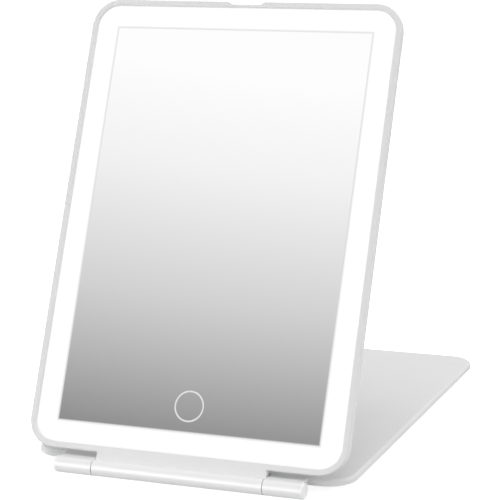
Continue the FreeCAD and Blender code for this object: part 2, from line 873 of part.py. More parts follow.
def battery_lead(label, order):
    """A lead from the pouch's lower end, round one bend to the plug on the board."""
    level = size("lead_level")
    x = size("lead_side") + order * size("lead_spacing")
    y = size("plug_bottom + plug_depth / 2") + (0.5 - order) * size("lead_spacing")
    bend = size("lead_bend")
    start = FreeCAD.Vector(x, size("battery_bottom"), level)
    turn_in = FreeCAD.Vector(x, y + bend, level)
    inside = bend - bend * math.sin(math.pi / 4)
    turn_mid = FreeCAD.Vector(x - inside, y + inside, level)
    turn_out = FreeCAD.Vector(x - bend, y, level)
    end = FreeCAD.Vector(size("plug_left + plug_width"), y, level)
    path = Part.Wire(
        [
            Part.LineSegment(start, turn_in).toShape(),
            Part.Arc(turn_in, turn_mid, turn_out).toShape(),
            Part.LineSegment(turn_out, end).toShape(),
        ]
    )
    spokes = [2 * math.pi * side / LEAD_SIDES for side in range(LEAD_SIDES + 1)]
    radius = size("lead_diameter") / 2
    ring = [start + FreeCAD.Vector(radius * math.cos(a), 0, radius * math.sin(a)) for a in spokes]
    section = Part.Wire(Part.makePolygon(ring))
    lead = doc.addObject("Part::Feature", label)
    lead.Label = label
    lead.Shape = path.makePipeShell([section], True, False)
    finished(lead, HEAD)


battery_lead("battery_lead_red", 0)
battery_lead("battery_lead_black", 1)

# Cover: a thin plate with a recess for the inner panel and a knuckle near each end of its front edge
cover = new_body("base_outer_shell")
cover_plate = new_sketch(cover, "plate", "base_inner_level")
panel_outline(cover_plate)
pad(cover, cover_plate, "base_thickness")
bevel_edges(cover, edges_at(cover.Tip, "base_outer_level"), "base_edge_bevel")
recess = new_sketch(cover, "recess", "base_inner_level")
panel_outline(recess, "base_wall")
pocket(cover, recess, "inner_panel_thickness", reverse=True)
outer = new_sketch(cover, "outer_knuckle", "knuckle_inner", "YZ_Plane")
knuckle_section(
    outer,
    [
        (chord, "base_inner_level"),
        ("hinge_offset + base_edge_bevel", "base_inner_level"),
        ("hinge_offset + base_edge_bevel", "base_outer_level"),
        (web_foot, "web_level"),
    ],
)
knuckle = pad(cover, outer, "knuckle_outer - knuckle_inner")


def draw_keyed_circle(sketch, radius, flat):
    """A circle with one flat on top, which keeps the pin from turning."""
    r, level = size(radius), size(flat)
    reach = math.sqrt(r * r - level * level)
    angle = math.asin(level / r)
    circle = Part.Circle(FreeCAD.Vector(), FreeCAD.Vector(0, 0, 1), r)
    arc = sketch.addGeometry(Part.ArcOfCircle(circle, math.pi - angle, 2 * math.pi + angle))
    chord_line = line(sketch, (reach, level), (-reach, level))
    sketch.addConstraint(Sketcher.Constraint("Coincident", arc, 3, -1, 1))
    sketch.addConstraint(Sketcher.Constraint("Coincident", arc, 2, chord_line, 1))
    sketch.addConstraint(Sketcher.Constraint("Coincident", chord_line, 2, arc, 1))
    sketch.addConstraint(Sketcher.Constraint("Horizontal", chord_line))
    hold(sketch, "Radius", arc, text=radius)
    hold(sketch, "DistanceY", -1, 1, chord_line, 1, text=flat)


pin_bore = new_sketch(cover, "pin_bore", "knuckle_outer", "YZ_Plane")
draw_keyed_circle(pin_bore, "pin_radius + pin_clearance", "pin_radius - pin_flat + pin_clearance")
pin_hole = pocket(cover, pin_bore, "knuckle_outer - knuckle_inner")
mirror_across(cover, [knuckle, pin_hole])
finished(cover, BASE)

# Inner panel, flush with the recess's edge, with two round seats for the pads
PAD_SIDES = {"left": "-panel_width / 2 + pad_inset", "right": "panel_width / 2 - pad_inset"}
inner = new_body("base_inner_panel")
inner_plate = new_sketch(inner, "plate", "base_inner_level")
panel_outline(inner_plate, "base_wall + inner_panel_clearance")
pad(inner, inner_plate, "inner_panel_thickness")
seats = new_sketch(inner, "pad_seats", "base_inner_level")
for x in PAD_SIDES.values():
    disc(seats, x, "pad_reach", "pad_diameter / 2 + pad_clearance")
pocket(inner, seats, "pad_seat", reverse=True)
finished(inner, BASE)

# Rubber pads, their soles cut level with the floor
floor = doc.addObject("Part::Box", "floor_below")
bind(floor, "Length", "2 * panel_width")
bind(floor, "Width", "3 * panel_height")
bind(floor, "Height", "pad_diameter")
floor_corner = FreeCAD.Vector(-size("panel_width"), -1.5 * size("panel_height"), -size("pad_diameter"))
floor.Placement = FreeCAD.Placement(floor_corner, FreeCAD.Rotation())
for side, x in PAD_SIDES.items():
    stem = doc.addObject("Part::Cylinder", f"pad_stem_{side}")
    bind(stem, "Radius", "pad_diameter / 2")
    bind(stem, "Height", "pad_seat + 2 * pad_proud")
    low = FreeCAD.Vector(size(x), size("pad_reach"), size("base_inner_level - 2 * pad_proud"))
    stem.Placement = BASE.multiply(FreeCAD.Placement(low, FreeCAD.Rotation()))
    sole = doc.addObject("Part::Cut", f"rest_pad_{side}")
    sole.Label = f"rest_pad_{side}"
    sole.Base = stem
    sole.Tool = floor
    parts.append(sole)

# Hinge pins, friction sleeves and end caps, drawn on the right and turned about for the left
doc.recompute()
half_turn = FreeCAD.Placement(FreeCAD.Vector(), FreeCAD.Rotation(FreeCAD.Vector(0, 0, 1), 180))


def hinge_pin(side, placement):
    body = new_body(f"hinge_pin_{side}")
    shaft = new_sketch(body, "shaft", "middle_half - pin_grip", "YZ_Plane")
    disc(shaft, "0", "0", "pin_radius")
    pad(body, shaft, "pin_outer - middle_half + pin_grip")
    flat = new_sketch(body, "flat", "pin_outer", "YZ_Plane")
    rectangle(
        flat,
        "-pin_radius - overcut",
        "pin_radius - pin_flat",
        "2 * (pin_radius + overcut)",
        "pin_flat + overcut",
    )
    pocket(body, flat, "pin_outer - knuckle_inner")
    finished(body, placement)


def friction_sleeve(side, placement):
    body = new_body(f"friction_sleeve_{side}")
    tube = new_sketch(body, "tube", "middle_half - pin_grip", "YZ_Plane")
    disc(tube, "0", "0", "sleeve_radius")
    disc(tube, "0", "0", "pin_radius + running_clearance")
    pad(body, tube, "pin_grip")
    key = new_sketch(body, "key", "middle_half - pin_grip", "YZ_Plane")
    rectangle(
        key,
        "-key_width / 2",
        "-sleeve_radius - key_height",
        "key_width",
        "key_height + sleeve_wall / 2",
    )
    pad(body, key, "pin_grip")
    slit = new_sketch(body, "slit", "middle_half", "YZ_Plane")
    rectangle(slit, "-sleeve_slit / 2", "pin_radius / 2", "sleeve_slit", "pin_radius + sleeve_wall")
    pocket(body, slit, "pin_grip")
    finished(body, placement)


def hinge_cap(side, placement):
    body = new_body(f"hinge_cap_{side}")
    button = new_sketch(body, "button", "knuckle_outer", "YZ_Plane")
    disc(button, "0", "0", "barrel_radius")
    pad(body, button, "cap_thickness")
    bevel_edges(body, edges_at(body.Tip, "barrel_half", "X"), "cap_bevel")
    plug = new_sketch(body, "plug", "knuckle_outer", "YZ_Plane")
    disc(plug, "0", "0", "pin_radius - pin_flat - pin_clearance")
    pad(body, plug, "cap_plug_length", reverse=True)
    finished(body, placement)


turned_base = BASE.multiply(half_turn)
turned_head = HEAD.multiply(half_turn)
for side, base_place, head_place in (("right", BASE, HEAD), ("left", turned_base, turned_head)):
    hinge_pin(side, base_place)
    friction_sleeve(side, head_place)
    hinge_cap(side, base_place)

# Check the model, then write one file for each sub-part
doc.recompute()
faults = [item.Name for item in doc.Objects if "Invalid" in item.State or "Error" in item.State]
faults += [item.Label for item in parts if item.Shape.isNull() or not item.Shape.isValid()]
if faults:
    raise RuntimeError("failed objects: " + ", ".join(faults))
os.makedirs("parts", exist_ok=True)
for item in parts:
    item.Shape.exportStep(f"parts/{item.Label}.step")
    print(item.Label, len(item.Shape.Solids), "solid(s)", round(item.Shape.Volume, 2), "mm3")
print("base slope", round(math.degrees(base_slope), 3), "degrees, hinge axis at", tuple(hinge_axis))
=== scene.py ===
# %% [markdown]
# # A lighted folding makeup mirror
# The object is a thin tablet with a mirror in a glowing border, standing on its own cover like an easel.
# The solids come from CAD and are loaded here as a fixed frame. This lesson gives them their finishes, and
# rebuilds the pieces whose soft edges and fine lines decide how the object looks.

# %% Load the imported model
import bmesh
import bpy
import json
import math
from mathutils import Matrix, Vector


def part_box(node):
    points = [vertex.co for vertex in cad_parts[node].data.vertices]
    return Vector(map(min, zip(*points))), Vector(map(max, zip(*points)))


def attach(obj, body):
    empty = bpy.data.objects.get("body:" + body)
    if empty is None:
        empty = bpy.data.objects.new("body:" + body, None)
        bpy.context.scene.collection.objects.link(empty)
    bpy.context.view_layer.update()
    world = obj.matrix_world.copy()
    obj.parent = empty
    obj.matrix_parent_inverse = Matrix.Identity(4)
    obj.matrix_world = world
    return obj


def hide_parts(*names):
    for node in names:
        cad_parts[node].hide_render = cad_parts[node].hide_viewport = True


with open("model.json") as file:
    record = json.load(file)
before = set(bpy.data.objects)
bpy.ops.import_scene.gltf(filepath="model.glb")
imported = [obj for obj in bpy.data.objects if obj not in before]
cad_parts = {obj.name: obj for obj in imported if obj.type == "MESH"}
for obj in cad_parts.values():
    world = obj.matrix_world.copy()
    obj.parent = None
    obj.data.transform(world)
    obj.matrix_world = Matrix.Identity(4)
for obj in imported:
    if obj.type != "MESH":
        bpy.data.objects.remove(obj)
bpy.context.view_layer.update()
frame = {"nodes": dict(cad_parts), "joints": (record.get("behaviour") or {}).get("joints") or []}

MM = 0.001

# %% [markdown]
# ## The leaning panel
# The mirror panel is easiest to draw lying flat, with the hinge along X, the panel running along Y, and the
# plane in which it closes on its cover at z = 0. Its angle can be read from the largest face of the glass
# that looks up, so nothing is typed in twice. A matrix then carries a flat drawing to its place.

# %% Measure the hinge and the panel's angle
LOOKS_UP = 0.2

hinge = Vector(frame["joints"][0]["pos_m"])
faces = [face for face in frame["nodes"]["mirror_glass"].data.polygons if face.normal.z > LOOKS_UP]
glass_normal = max(faces, key=lambda face: face.area).normal
head_turn = math.atan2(-glass_normal.y, glass_normal.z)
HEAD = Matrix.Translation(hinge) @ Matrix.Rotation(head_turn, 4, "X")
print("the panel stands at", round(math.degrees(head_turn), 3), "degrees")

# %% [markdown]
# ## Camera
# A product like this is photographed from some distance with a long lens, a little to the right and a
# little above. The distance and angles were found by fitting the corners of the panel, so the camera is
# placed by azimuth, elevation and roll about a point near the glass. The fit used a frame that starts at
# the foot of the glass and leans by just under one degree, and to_part carries it over to the part's own
# frame. The image is square, and the sensor's width covers it.

# %% Camera
CAMERA_AZIMUTH = math.radians(21.614)
CAMERA_ELEVATION = math.radians(12.268)
CAMERA_ROLL = math.radians(-1.006)
CAMERA_DISTANCE = 0.8139
CAMERA_TARGET = Vector((34.34, 0.0, 95.2)) * MM
CAMERA_LENS = 138.6
SENSOR_WIDTH = 36.0
GLASS_FOOT = Vector((0.0, 9.066, -0.5)) * MM
FLOOR_LEAN = math.radians(-0.843)

away = Vector((
    math.sin(CAMERA_AZIMUTH) * math.cos(CAMERA_ELEVATION),
    -math.cos(CAMERA_AZIMUTH) * math.cos(CAMERA_ELEVATION),
    math.sin(CAMERA_ELEVATION),
))
sideways = (-away).cross(Vector((0, 0, 1))).normalized()
upward = sideways.cross(-away)
rolled_side = math.cos(CAMERA_ROLL) * sideways + math.sin(CAMERA_ROLL) * upward
rolled_up = -math.sin(CAMERA_ROLL) * sideways + math.cos(CAMERA_ROLL) * upward
looking = Matrix((rolled_side, rolled_up, away)).transposed().to_4x4()
looking.translation = CAMERA_TARGET + away * CAMERA_DISTANCE
to_part = Matrix.Translation(HEAD @ GLASS_FOOT) @ Matrix.Rotation(FLOOR_LEAN, 4, "X")

lens = bpy.data.cameras.new("camera")
lens.sensor_fit = "HORIZONTAL"
lens.sensor_width = SENSOR_WIDTH
lens.lens = CAMERA_LENS
camera = bpy.data.objects.new("camera", lens)
camera.matrix_world = to_part @ looking
bpy.context.collection.objects.link(camera)
bpy.context.scene.camera = camera
print("camera at", [round(c, 3) for c in camera.matrix_world.translation])

# %% [markdown]
# ## Building node trees in code
# Shader trees, geometry trees and the world are all node trees, so one small helper can add a node to any
# of them. It sets the node's options and either types a value into an input or links another socket to it.
# Four kinds of node come up so often that each gets a short helper, which gives back its output socket.

# %% Helpers for node trees
WHITE = (1.0, 1.0, 1.0, 1.0)


def add_node(tree, kind, inputs=None, **options):
    """A new node. Its options are set first, then each input is typed in or linked from a socket."""
    node = tree.nodes.new(kind)
    for name, value in options.items():
        setattr(node, name, value)
    for name, value in (inputs or {}).items():
        if isinstance(value, bpy.types.NodeSocket):
            tree.links.new(value, node.inputs[name])
        else:
            node.inputs[name].default_value = value
    return node


def calc(tree, operation, first, second=0.0):
    """The result of one Math node. It serves shader trees and geometry trees alike."""
    return add_node(tree, "ShaderNodeMath", {0: first, 1: second}, operation=operation).outputs[0]


def vector_calc(tree, operation, first, second=(0.0, 0.0, 0.0)):
    """The result of one Vector Math node, which is a number for a length or a dot product."""
    node = add_node(tree, "ShaderNodeVectorMath", {0: first, 1: second}, operation=operation)
    return node.outputs["Value" if operation in ("LENGTH", "DOT_PRODUCT") else "Vector"]


def ramp(tree, value, low, high, at_low, at_high):
    """Runs evenly from one value to another between two limits, and stays level outside them."""
    limits = {"Value": value, "From Min": low, "From Max": high, "To Min": at_low, "To Max": at_high}
    return add_node(tree, "ShaderNodeMapRange", limits).outputs["Result"]


def blend(tree, factor, first, second):
    """Mixes two colours: the first where the factor is 0, the second where it is 1."""
    colours = {"Factor": factor, "A": first, "B": second}
    return add_node(tree, "ShaderNodeMix", colours, data_type="RGBA").outputs["Result"]


# %% [markdown]
# ## A white studio
# The mirror stands in a white tent, and the camera sees plain white all round. A mirror, though, shows
# whatever is in front of it, and here that is a tent wall that fades from grey at eye height to white
# overhead. So the world gives glossy rays a grey that depends on their direction, and everything else one
# even, soft light. The floor takes the object's shadow. For the camera it is paler than for the light that
# it throws back onto the object, and it has a glow of its own, so that it meets the white behind it.

# %% World
TENT_FADE = [
    (0.30, 0.18), (0.52, 0.19), (0.555, 0.40), (0.595, 0.645), (0.65, 0.90), (0.69, 1.0), (1.0, 0.82),
]
TENT_LEAN = (-0.175, 0.0, 1.0)
TENT_SEAM = 0.2
AMBIENT = 0.565

world = bpy.data.worlds.new("white_tent")
bpy.context.scene.world = world
world.use_nodes = True
sky = world.node_tree
sky.nodes.clear()
direction = add_node(sky, "ShaderNodeTexCoord").outputs["Generated"]
climb = vector_calc(sky, "DOT_PRODUCT", direction, TENT_LEAN)
fade = add_node(sky, "ShaderNodeValToRGB", {"Fac": climb})
while len(fade.color_ramp.elements) < len(TENT_FADE):
    fade.color_ramp.elements.new(0.5)
for stop, (position, grey) in zip(fade.color_ramp.elements, TENT_FADE):
    stop.position = position
    stop.color = (grey, grey, grey, 1.0)
ahead = add_node(sky, "ShaderNodeSeparateXYZ", {"Vector": direction}).outputs["Y"]
front = ramp(sky, ahead, TENT_SEAM, -TENT_SEAM, 0.0, 1.0)
wall = blend(sky, front, WHITE, fade.outputs["Color"])
even_light = add_node(sky, "ShaderNodeBackground", {"Color": WHITE, "Strength": AMBIENT})
tent_wall = add_node(sky, "ShaderNodeBackground", {"Color": wall, "Strength": 1.0})
backdrop = add_node(sky, "ShaderNodeBackground", {"Color": WHITE, "Strength": 1.0})
rays = add_node(sky, "ShaderNodeLightPath").outputs
for_gloss = add_node(sky, "ShaderNodeMixShader", {
    "Fac": rays["Is Glossy Ray"], 1: even_light.outputs[0], 2: tent_wall.outputs[0],
})
clear_rays = calc(sky, "MAXIMUM", rays["Is Camera Ray"], rays["Is Transmission Ray"])
for_camera = add_node(sky, "ShaderNodeMixShader", {
    "Fac": clear_rays, 1: for_gloss.outputs[0], 2: backdrop.outputs[0],
})
add_node(sky, "ShaderNodeOutputWorld", {"Surface": for_camera.outputs[0]})
print("world nodes:", len(sky.nodes))

# %% Floor
FLOOR_HALF = 4.0
FLOOR_PALE = 0.45
FLOOR_SEEN = 0.9
FLOOR_GLOW = 0.8

floor_mesh = bpy.data.meshes.new("floor")
floor_corners = [(x * FLOOR_HALF, y * FLOOR_HALF, 0.0) for x, y in ((-1, -1), (1, -1), (1, 1), (-1, 1))]
floor_mesh.from_pydata(floor_corners, [], [(0, 1, 2, 3)])
floor = bpy.data.objects.new("floor", floor_mesh)
bpy.context.collection.objects.link(floor)
paper = bpy.data.materials.new("floor_paper")
paper.use_nodes = True
tree = paper.node_tree
tree.nodes.clear()
rays = add_node(tree, "ShaderNodeLightPath").outputs
pale = ramp(tree, rays["Is Camera Ray"], 0.0, 1.0, FLOOR_PALE, FLOOR_SEEN)
matt = add_node(tree, "ShaderNodeBsdfDiffuse", {"Color": pale})
seen = calc(tree, "MAXIMUM", rays["Is Camera Ray"], rays["Is Glossy Ray"])
shine = add_node(tree, "ShaderNodeEmission", {"Strength": calc(tree, "MULTIPLY", seen, FLOOR_GLOW)})
both = add_node(tree, "ShaderNodeAddShader", {0: matt.outputs[0], 1: shine.outputs[0]})
add_node(tree, "ShaderNodeOutputMaterial", {"Surface": both.outputs[0]})
floor_mesh.materials.append(paper)
print("floor of", 2 * FLOOR_HALF, "m")

# %% [markdown]
# Soft boxes shape the object. One hangs overhead, so that the cover is darker where the panel leans over
# it. A weak one stands in front on the left, and two low ones at the sides keep the thin edges from going
# grey. The fifth lights nothing: only polished surfaces show it, and it draws the bright line along the
# hinge barrel.

# %% Soft boxes
def soft_box(name, place, aim, size, power, reflected=False):
    """A rectangular lamp. Polished surfaces show it only if it is reflected, and then it lights no others."""
    lamp = bpy.data.lights.new(name, "AREA")
    lamp.shape = "RECTANGLE"
    lamp.size, lamp.size_y = size
    lamp.energy = power
    box = bpy.data.objects.new(name, lamp)
    box.location = place
    box.rotation_euler = (Vector(aim) - Vector(place)).to_track_quat("-Z", "Y").to_euler()
    box.visible_camera = False
    box.visible_glossy = reflected
    box.visible_diffuse = not reflected
    bpy.context.collection.objects.link(box)
    return box


MIDDLE = (0.0, -0.02, 0.08)
boxes = [
    soft_box("overhead_box", (0.1, -0.1, 1.3), MIDDLE, (0.8, 0.8), 6.2),
    soft_box("front_box", (-0.40, -1.05, 0.28), MIDDLE, (0.5, 0.33), 1.85),
    soft_box("right_box", (0.6, -0.12, 0.05), (0.0, -0.12, 0.05), (0.3, 0.1), 0.8),
    soft_box("left_box", (-1.1, -0.15, 0.06), MIDDLE, (0.4, 0.1), 4.6),
    soft_box("line_box", (-0.40, -1.05, 0.29), MIDDLE, (0.5, 0.30), 3.8, reflected=True),
]
print("soft boxes:", len(boxes))

# %% [markdown]
# ## Surface effects that several finishes share
# Moulded plastic is never perfectly even: the tool leaves a fine grain, and the tone drifts a little across
# a large panel. Handling leaves faint duller patches. On the pane, light and silver change close to an
# outline, so a third effect measures the distance from a rounded rectangle. Each is a node group with named
# inputs, and every finish can use it with its own values.

# %% Node groups
PATCH_LOW, PATCH_HIGH = 0.35, 0.7


def new_group(name, inputs, outputs):
    """A shader node group with inputs (label, kind, value) and outputs that are numbers."""
    group = bpy.data.node_groups.new(name, "ShaderNodeTree")
    for label, kind, value in inputs:
        socket = group.interface.new_socket(label, in_out="INPUT", socket_type="NodeSocket" + kind)
        if value is not None:
            socket.default_value = value
    for label in outputs:
        group.interface.new_socket(label, in_out="OUTPUT", socket_type="NodeSocketFloat")
    return group, group.nodes.new("NodeGroupInput").outputs, group.nodes.new("NodeGroupOutput").inputs


grain_group, given, result = new_group(
    "moulded_grain",
    [("Vector", "Vector", None), ("Grain", "Float", 2500.0), ("Drift", "Float", 14.0)],
    ["Height", "Tone"],
)
fine = add_node(grain_group, "ShaderNodeTexNoise", {
    "Vector": given["Vector"], "Scale": given["Grain"], "Detail": 3.0, "Roughness": 0.6,
})
slow = add_node(grain_group, "ShaderNodeTexNoise", {
    "Vector": given["Vector"], "Scale": given["Drift"], "Detail": 2.0,
})
grain_group.links.new(fine.outputs["Fac"], result["Height"])
grain_group.links.new(slow.outputs["Fac"], result["Tone"])

marks_group, given, result = new_group(
    "handling_marks",
    [("Vector", "Vector", None), ("Size", "Float", 60.0), ("Low", "Float", 0.3), ("High", "Float", 0.4)],
    ["Roughness"],
)
patches = add_node(marks_group, "ShaderNodeTexNoise", {
    "Vector": given["Vector"], "Scale": given["Size"], "Detail": 5.0, "Roughness": 0.65, "Distortion": 0.6,
})
spread = ramp(marks_group, patches.outputs["Fac"], PATCH_LOW, PATCH_HIGH, given["Low"], given["High"])
marks_group.links.new(spread, result["Roughness"])

outline_group, given, result = new_group(
    "distance_from_outline",
    [("Vector", "Vector", None), ("Centre", "Vector", None), ("Half", "Vector", None),
     ("Corner", "Float", 0.0)],
    ["Distance"],
)
arm = vector_calc(outline_group, "SUBTRACT", given["Vector"], given["Centre"])
past = vector_calc(outline_group, "SUBTRACT", vector_calc(outline_group, "ABSOLUTE", arm), given["Half"])
past = vector_calc(outline_group, "ADD", past, given["Corner"])
outside = vector_calc(outline_group, "MAXIMUM", past, (0.0, 0.0, 0.0))
outside = vector_calc(outline_group, "MULTIPLY", outside, (1.0, 1.0, 0.0))
sides = add_node(outline_group, "ShaderNodeSeparateXYZ", {"Vector": past}).outputs
inside = calc(outline_group, "MINIMUM", calc(outline_group, "MAXIMUM", sides["X"], sides["Y"]), 0.0)
total = calc(outline_group, "ADD", vector_calc(outline_group, "LENGTH", outside), inside)
distance = calc(outline_group, "SUBTRACT", total, given["Corner"])
outline_group.links.new(distance, result["Distance"])
print("node groups:", [group.name for group in (grain_group, marks_group, outline_group)])

# %% [markdown]
# ## White satin plastic
# The frame, the back and the cover are moulded in one white plastic with a satin skin. The hinge caps get a
# paler copy of it, which is painted light: it stands in for the brighter light on their end faces. Each
# colour is written as it should render, a little under pure white. The tone group mixes two near whites, the
# marks group varies the roughness, and the grain feeds a very shallow bump. The hinge barrel is more polished
# than the rest, so a coat comes in close to the hinge axis.

# %% Plastic finishes
def new_material(name, **constants):
    """A material, its tree and its shader's inputs, with the constants typed into the shader."""
    material = bpy.data.materials.new(name)
    material.use_nodes = True
    shader = material.node_tree.nodes["Principled BSDF"].inputs
    for socket, value in constants.items():
        shader[socket.replace("_", " ")].default_value = value
    return material, material.node_tree, shader


def grained(name, pale, deep, low, high, grain=2500.0, depth=0.000006, **constants):
    """A finish with a tone that drifts, roughness that varies from low to high, and a fine bump."""
    material, tree, shader = new_material(name, **constants)
    place = add_node(tree, "ShaderNodeTexCoord").outputs["Object"]
    moulded = {"Vector": place, "Grain": grain}
    texture = add_node(tree, "ShaderNodeGroup", moulded, node_tree=grain_group).outputs
    handled = {"Vector": place, "Low": low, "High": high}
    wear = add_node(tree, "ShaderNodeGroup", handled, node_tree=marks_group).outputs
    tree.links.new(blend(tree, texture["Tone"], (*pale, 1.0), (*deep, 1.0)), shader["Base Color"])
    tree.links.new(wear["Roughness"], shader["Roughness"])
    if depth:
        relief = {"Height": texture["Height"], "Strength": 1.0, "Distance": depth}
        tree.links.new(add_node(tree, "ShaderNodeBump", relief).outputs["Normal"], shader["Normal"])
    return material


BARREL_RADIUS = 3.65
POLISH_START, POLISH_END = 0.1, 0.3


def polished_at_barrel(name, pale, deep):
    """Satin plastic with a polished coat on the hinge barrel, which fades out just past its radius."""
    material = grained(name, pale, deep, 0.38, 0.50, Coat_Roughness=0.55, Coat_IOR=3.2)
    tree = material.node_tree
    where = add_node(tree, "ShaderNodeTexCoord").outputs["Object"]
    across = vector_calc(tree, "MULTIPLY", vector_calc(tree, "SUBTRACT", where, hinge), (0.0, 1.0, 1.0))
    start, end = (BARREL_RADIUS + POLISH_START) * MM, (BARREL_RADIUS + POLISH_END) * MM
    polish = ramp(tree, vector_calc(tree, "LENGTH", across), start, end, 1.0, 0.0)
    tree.links.new(polish, tree.nodes["Principled BSDF"].inputs["Coat Weight"])
    return material


def dress(material, *nodes):
    """Gives CAD nodes a finish in place of the plain one they came with."""
    for node in nodes:
        slots = frame["nodes"][node].data.materials
        slots.clear()
        slots.append(material)


white_satin = polished_at_barrel("white_satin", (0.81, 0.81, 0.81), (0.785, 0.785, 0.787))
# The caps' paler white is painted light: it stands in for the brighter light on their end faces.
cap_white = polished_at_barrel("cap_white", (0.89, 0.89, 0.89), (0.87, 0.87, 0.87))
dress(white_satin, "rear_shell", "base_outer_shell", "base_inner_panel")
print("white nodes dressed")

# %% [markdown]
# ## The pane
# On the real object one sheet of glass is silvered from behind in the middle, and frosted round the border,
# where the lamps shine through. Seen from outside these zones lie flush in one polished face. So the pane
# is made as four pieces that fit each other: the glowing border, the silvered middle with a round hole, the
# ring in that hole, and a silvered island inside the ring. A 2D curve with a hole in it fills and extrudes
# into just such a plate.

# %% Plates cut from flat curves
PANEL_HALF = 76.2
PANEL_FOOT = 7.2
PANEL_TOP = 219.8
PANEL_CORNER = 13.0
CORNER_STEPS = 16
GLASS_INSET = 2.9
GLASS_FRONT = -1.6
GLASS_BACK = -2.7
COATING_BACK = -2.8
SEAT_GAP = 0.02
DOUBLES = 0.0001
SMALL = Matrix.Scale(MM, 4)


def rounded_loop(inset):
    """The panel's outline, drawn in by inset, in millimetres."""
    radius = PANEL_CORNER - inset
    left, right = -PANEL_HALF + PANEL_CORNER, PANEL_HALF - PANEL_CORNER
    low, high = PANEL_FOOT + PANEL_CORNER, PANEL_TOP - PANEL_CORNER
    loop = []
    for index, (x, y) in enumerate(((right, high), (left, high), (left, low), (right, low))):
        for step in range(CORNER_STEPS + 1):
            angle = math.pi / 2 * (index + step / CORNER_STEPS)
            loop.append((x + radius * math.cos(angle), y + radius * math.sin(angle)))
    return loop


def rectangle_loop(left, right, low, high):
    return [(left, low), (right, low), (right, high), (left, high)]


def circle_loop(x, y, radius, steps=96):
    turns = [2 * math.pi * step / steps for step in range(steps)]
    return [(x + radius * math.cos(turn), y + radius * math.sin(turn)) for turn in turns]


def plain_mesh(carrier):
    """Evaluates a carrier object, removes it, and gives back its shape as a plain mesh."""
    bpy.context.collection.objects.link(carrier)
    mesh = bpy.data.meshes.new_from_object(carrier.evaluated_get(bpy.context.evaluated_depsgraph_get()))
    bpy.data.objects.remove(carrier)
    return mesh


def close_up(mesh, reach):
    """Merges points that lie within reach of each other, and turns the faces outward."""
    work = bmesh.new()
    work.from_mesh(mesh)
    bmesh.ops.remove_doubles(work, verts=work.verts, dist=reach)
    bmesh.ops.recalc_face_normals(work, faces=work.faces)
    work.to_mesh(mesh)
    work.free()


def plate(name, loops, back, front, arris):
    """A closed plate with fine bevelled edges, from flat outlines and holes in millimetres."""
    flat = bpy.data.curves.new(name, "CURVE")
    flat.dimensions = "2D"
    flat.fill_mode = "BOTH"
    flat.extrude = (front - back) / 2 - arris
    flat.bevel_depth = arris
    flat.bevel_resolution = 1
    flat.offset = -arris
    for loop in loops:
        spline = flat.splines.new("POLY")
        spline.points.add(len(loop) - 1)
        for point, (x, y) in zip(spline.points, loop):
            point.co = (x, y, 0.0, 1.0)
        spline.use_cyclic_u = True
    mesh = plain_mesh(bpy.data.objects.new(name, flat))
    bpy.data.curves.remove(flat)
    mesh.transform(Matrix.Translation((0, 0, (front + back) / 2)))
    mesh.transform(SMALL)
    close_up(mesh, DOUBLES * MM)
    return mesh


def piece(name, mesh, material, body, slot, *stands_for):
    """Puts a finished mesh into the scene, on its body, in place of the nodes that it stands for."""
    mesh.materials.clear()
    mesh.materials.append(material)
    mesh.name = name
    obj = bpy.data.objects.new(name, mesh)
    bpy.context.collection.objects.link(obj)
    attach(obj, body)
    if stands_for:
        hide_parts(*stands_for)
    print(name, "faces:", len(mesh.polygons))


# %% [markdown]
# The border glows because the lamps shine through its frost. Its light is weaker beside the rim and beside
# the silver, and the silver itself thins over its last half millimetre and lets some of that light through.
# All of this follows the distance from an outline, which the third node group measures. The ring is a plain
# glowing line. Light Path gives the camera the border's full light, and the pieces around it a little less.

# %% Finishes of the pane
def pane_place(tree):
    """Coordinates in the leaning panel's own flat frame, in metres."""
    where = add_node(tree, "ShaderNodeTexCoord").outputs["Object"]
    turned = {"Vector": where, "Location": hinge, "Rotation": (head_turn, 0.0, 0.0)}
    return add_node(tree, "ShaderNodeMapping", turned, vector_type="TEXTURE").outputs["Vector"]


def outline_distance(tree, place, sides, corner):
    """How far a point lies outside a rounded rectangle, in metres. Inside it is below zero."""
    left, right, low, high = (side * MM for side in sides)
    outline = {
        "Vector": place, "Corner": corner * MM,
        "Centre": ((left + right) / 2, (low + high) / 2, 0.0),
        "Half": ((right - left) / 2, (high - low) / 2, 0.0),
    }
    return add_node(tree, "ShaderNodeGroup", outline, node_tree=outline_group).outputs["Distance"]


SILVER = (-62.7, 62.7, 20.1, 206.3)
GLASS = (
    -PANEL_HALF + GLASS_INSET, PANEL_HALF - GLASS_INSET,
    PANEL_FOOT + GLASS_INSET, PANEL_TOP - GLASS_INSET,
)
SILVER_THIN, SILVER_LEFT = 0.5, 0.2
SILVER_SHADE, SILVER_FADE = 0.68, 1.3
RIM_SHADE, RIM_FADE = 0.85, 0.9
BORDER_DIM, BORDER_SPILL = 0.96, 0.9
RING_DIM, RING_BRIGHT = 0.58, 0.72

silver = grained(
    "silvered_glass", (0.99, 0.99, 0.99), (0.98, 0.982, 0.982), 0.008, 0.02, depth=0.0,
    Metallic=1.0, Emission_Strength=1.0,
)
tree = silver.node_tree
shader = tree.nodes["Principled BSDF"].inputs
from_edge = outline_distance(tree, pane_place(tree), SILVER, 0.0)
left_over = ramp(tree, from_edge, -SILVER_THIN * MM, 0.0, 1.0, SILVER_LEFT)
tone = shader["Base Color"].links[0].from_socket
tree.links.new(vector_calc(tree, "MULTIPLY", tone, left_over), shader["Base Color"])
let_through = calc(tree, "MULTIPLY", calc(tree, "SUBTRACT", 1.0, left_over), SILVER_SHADE)
tree.links.new(let_through, shader["Emission Color"])

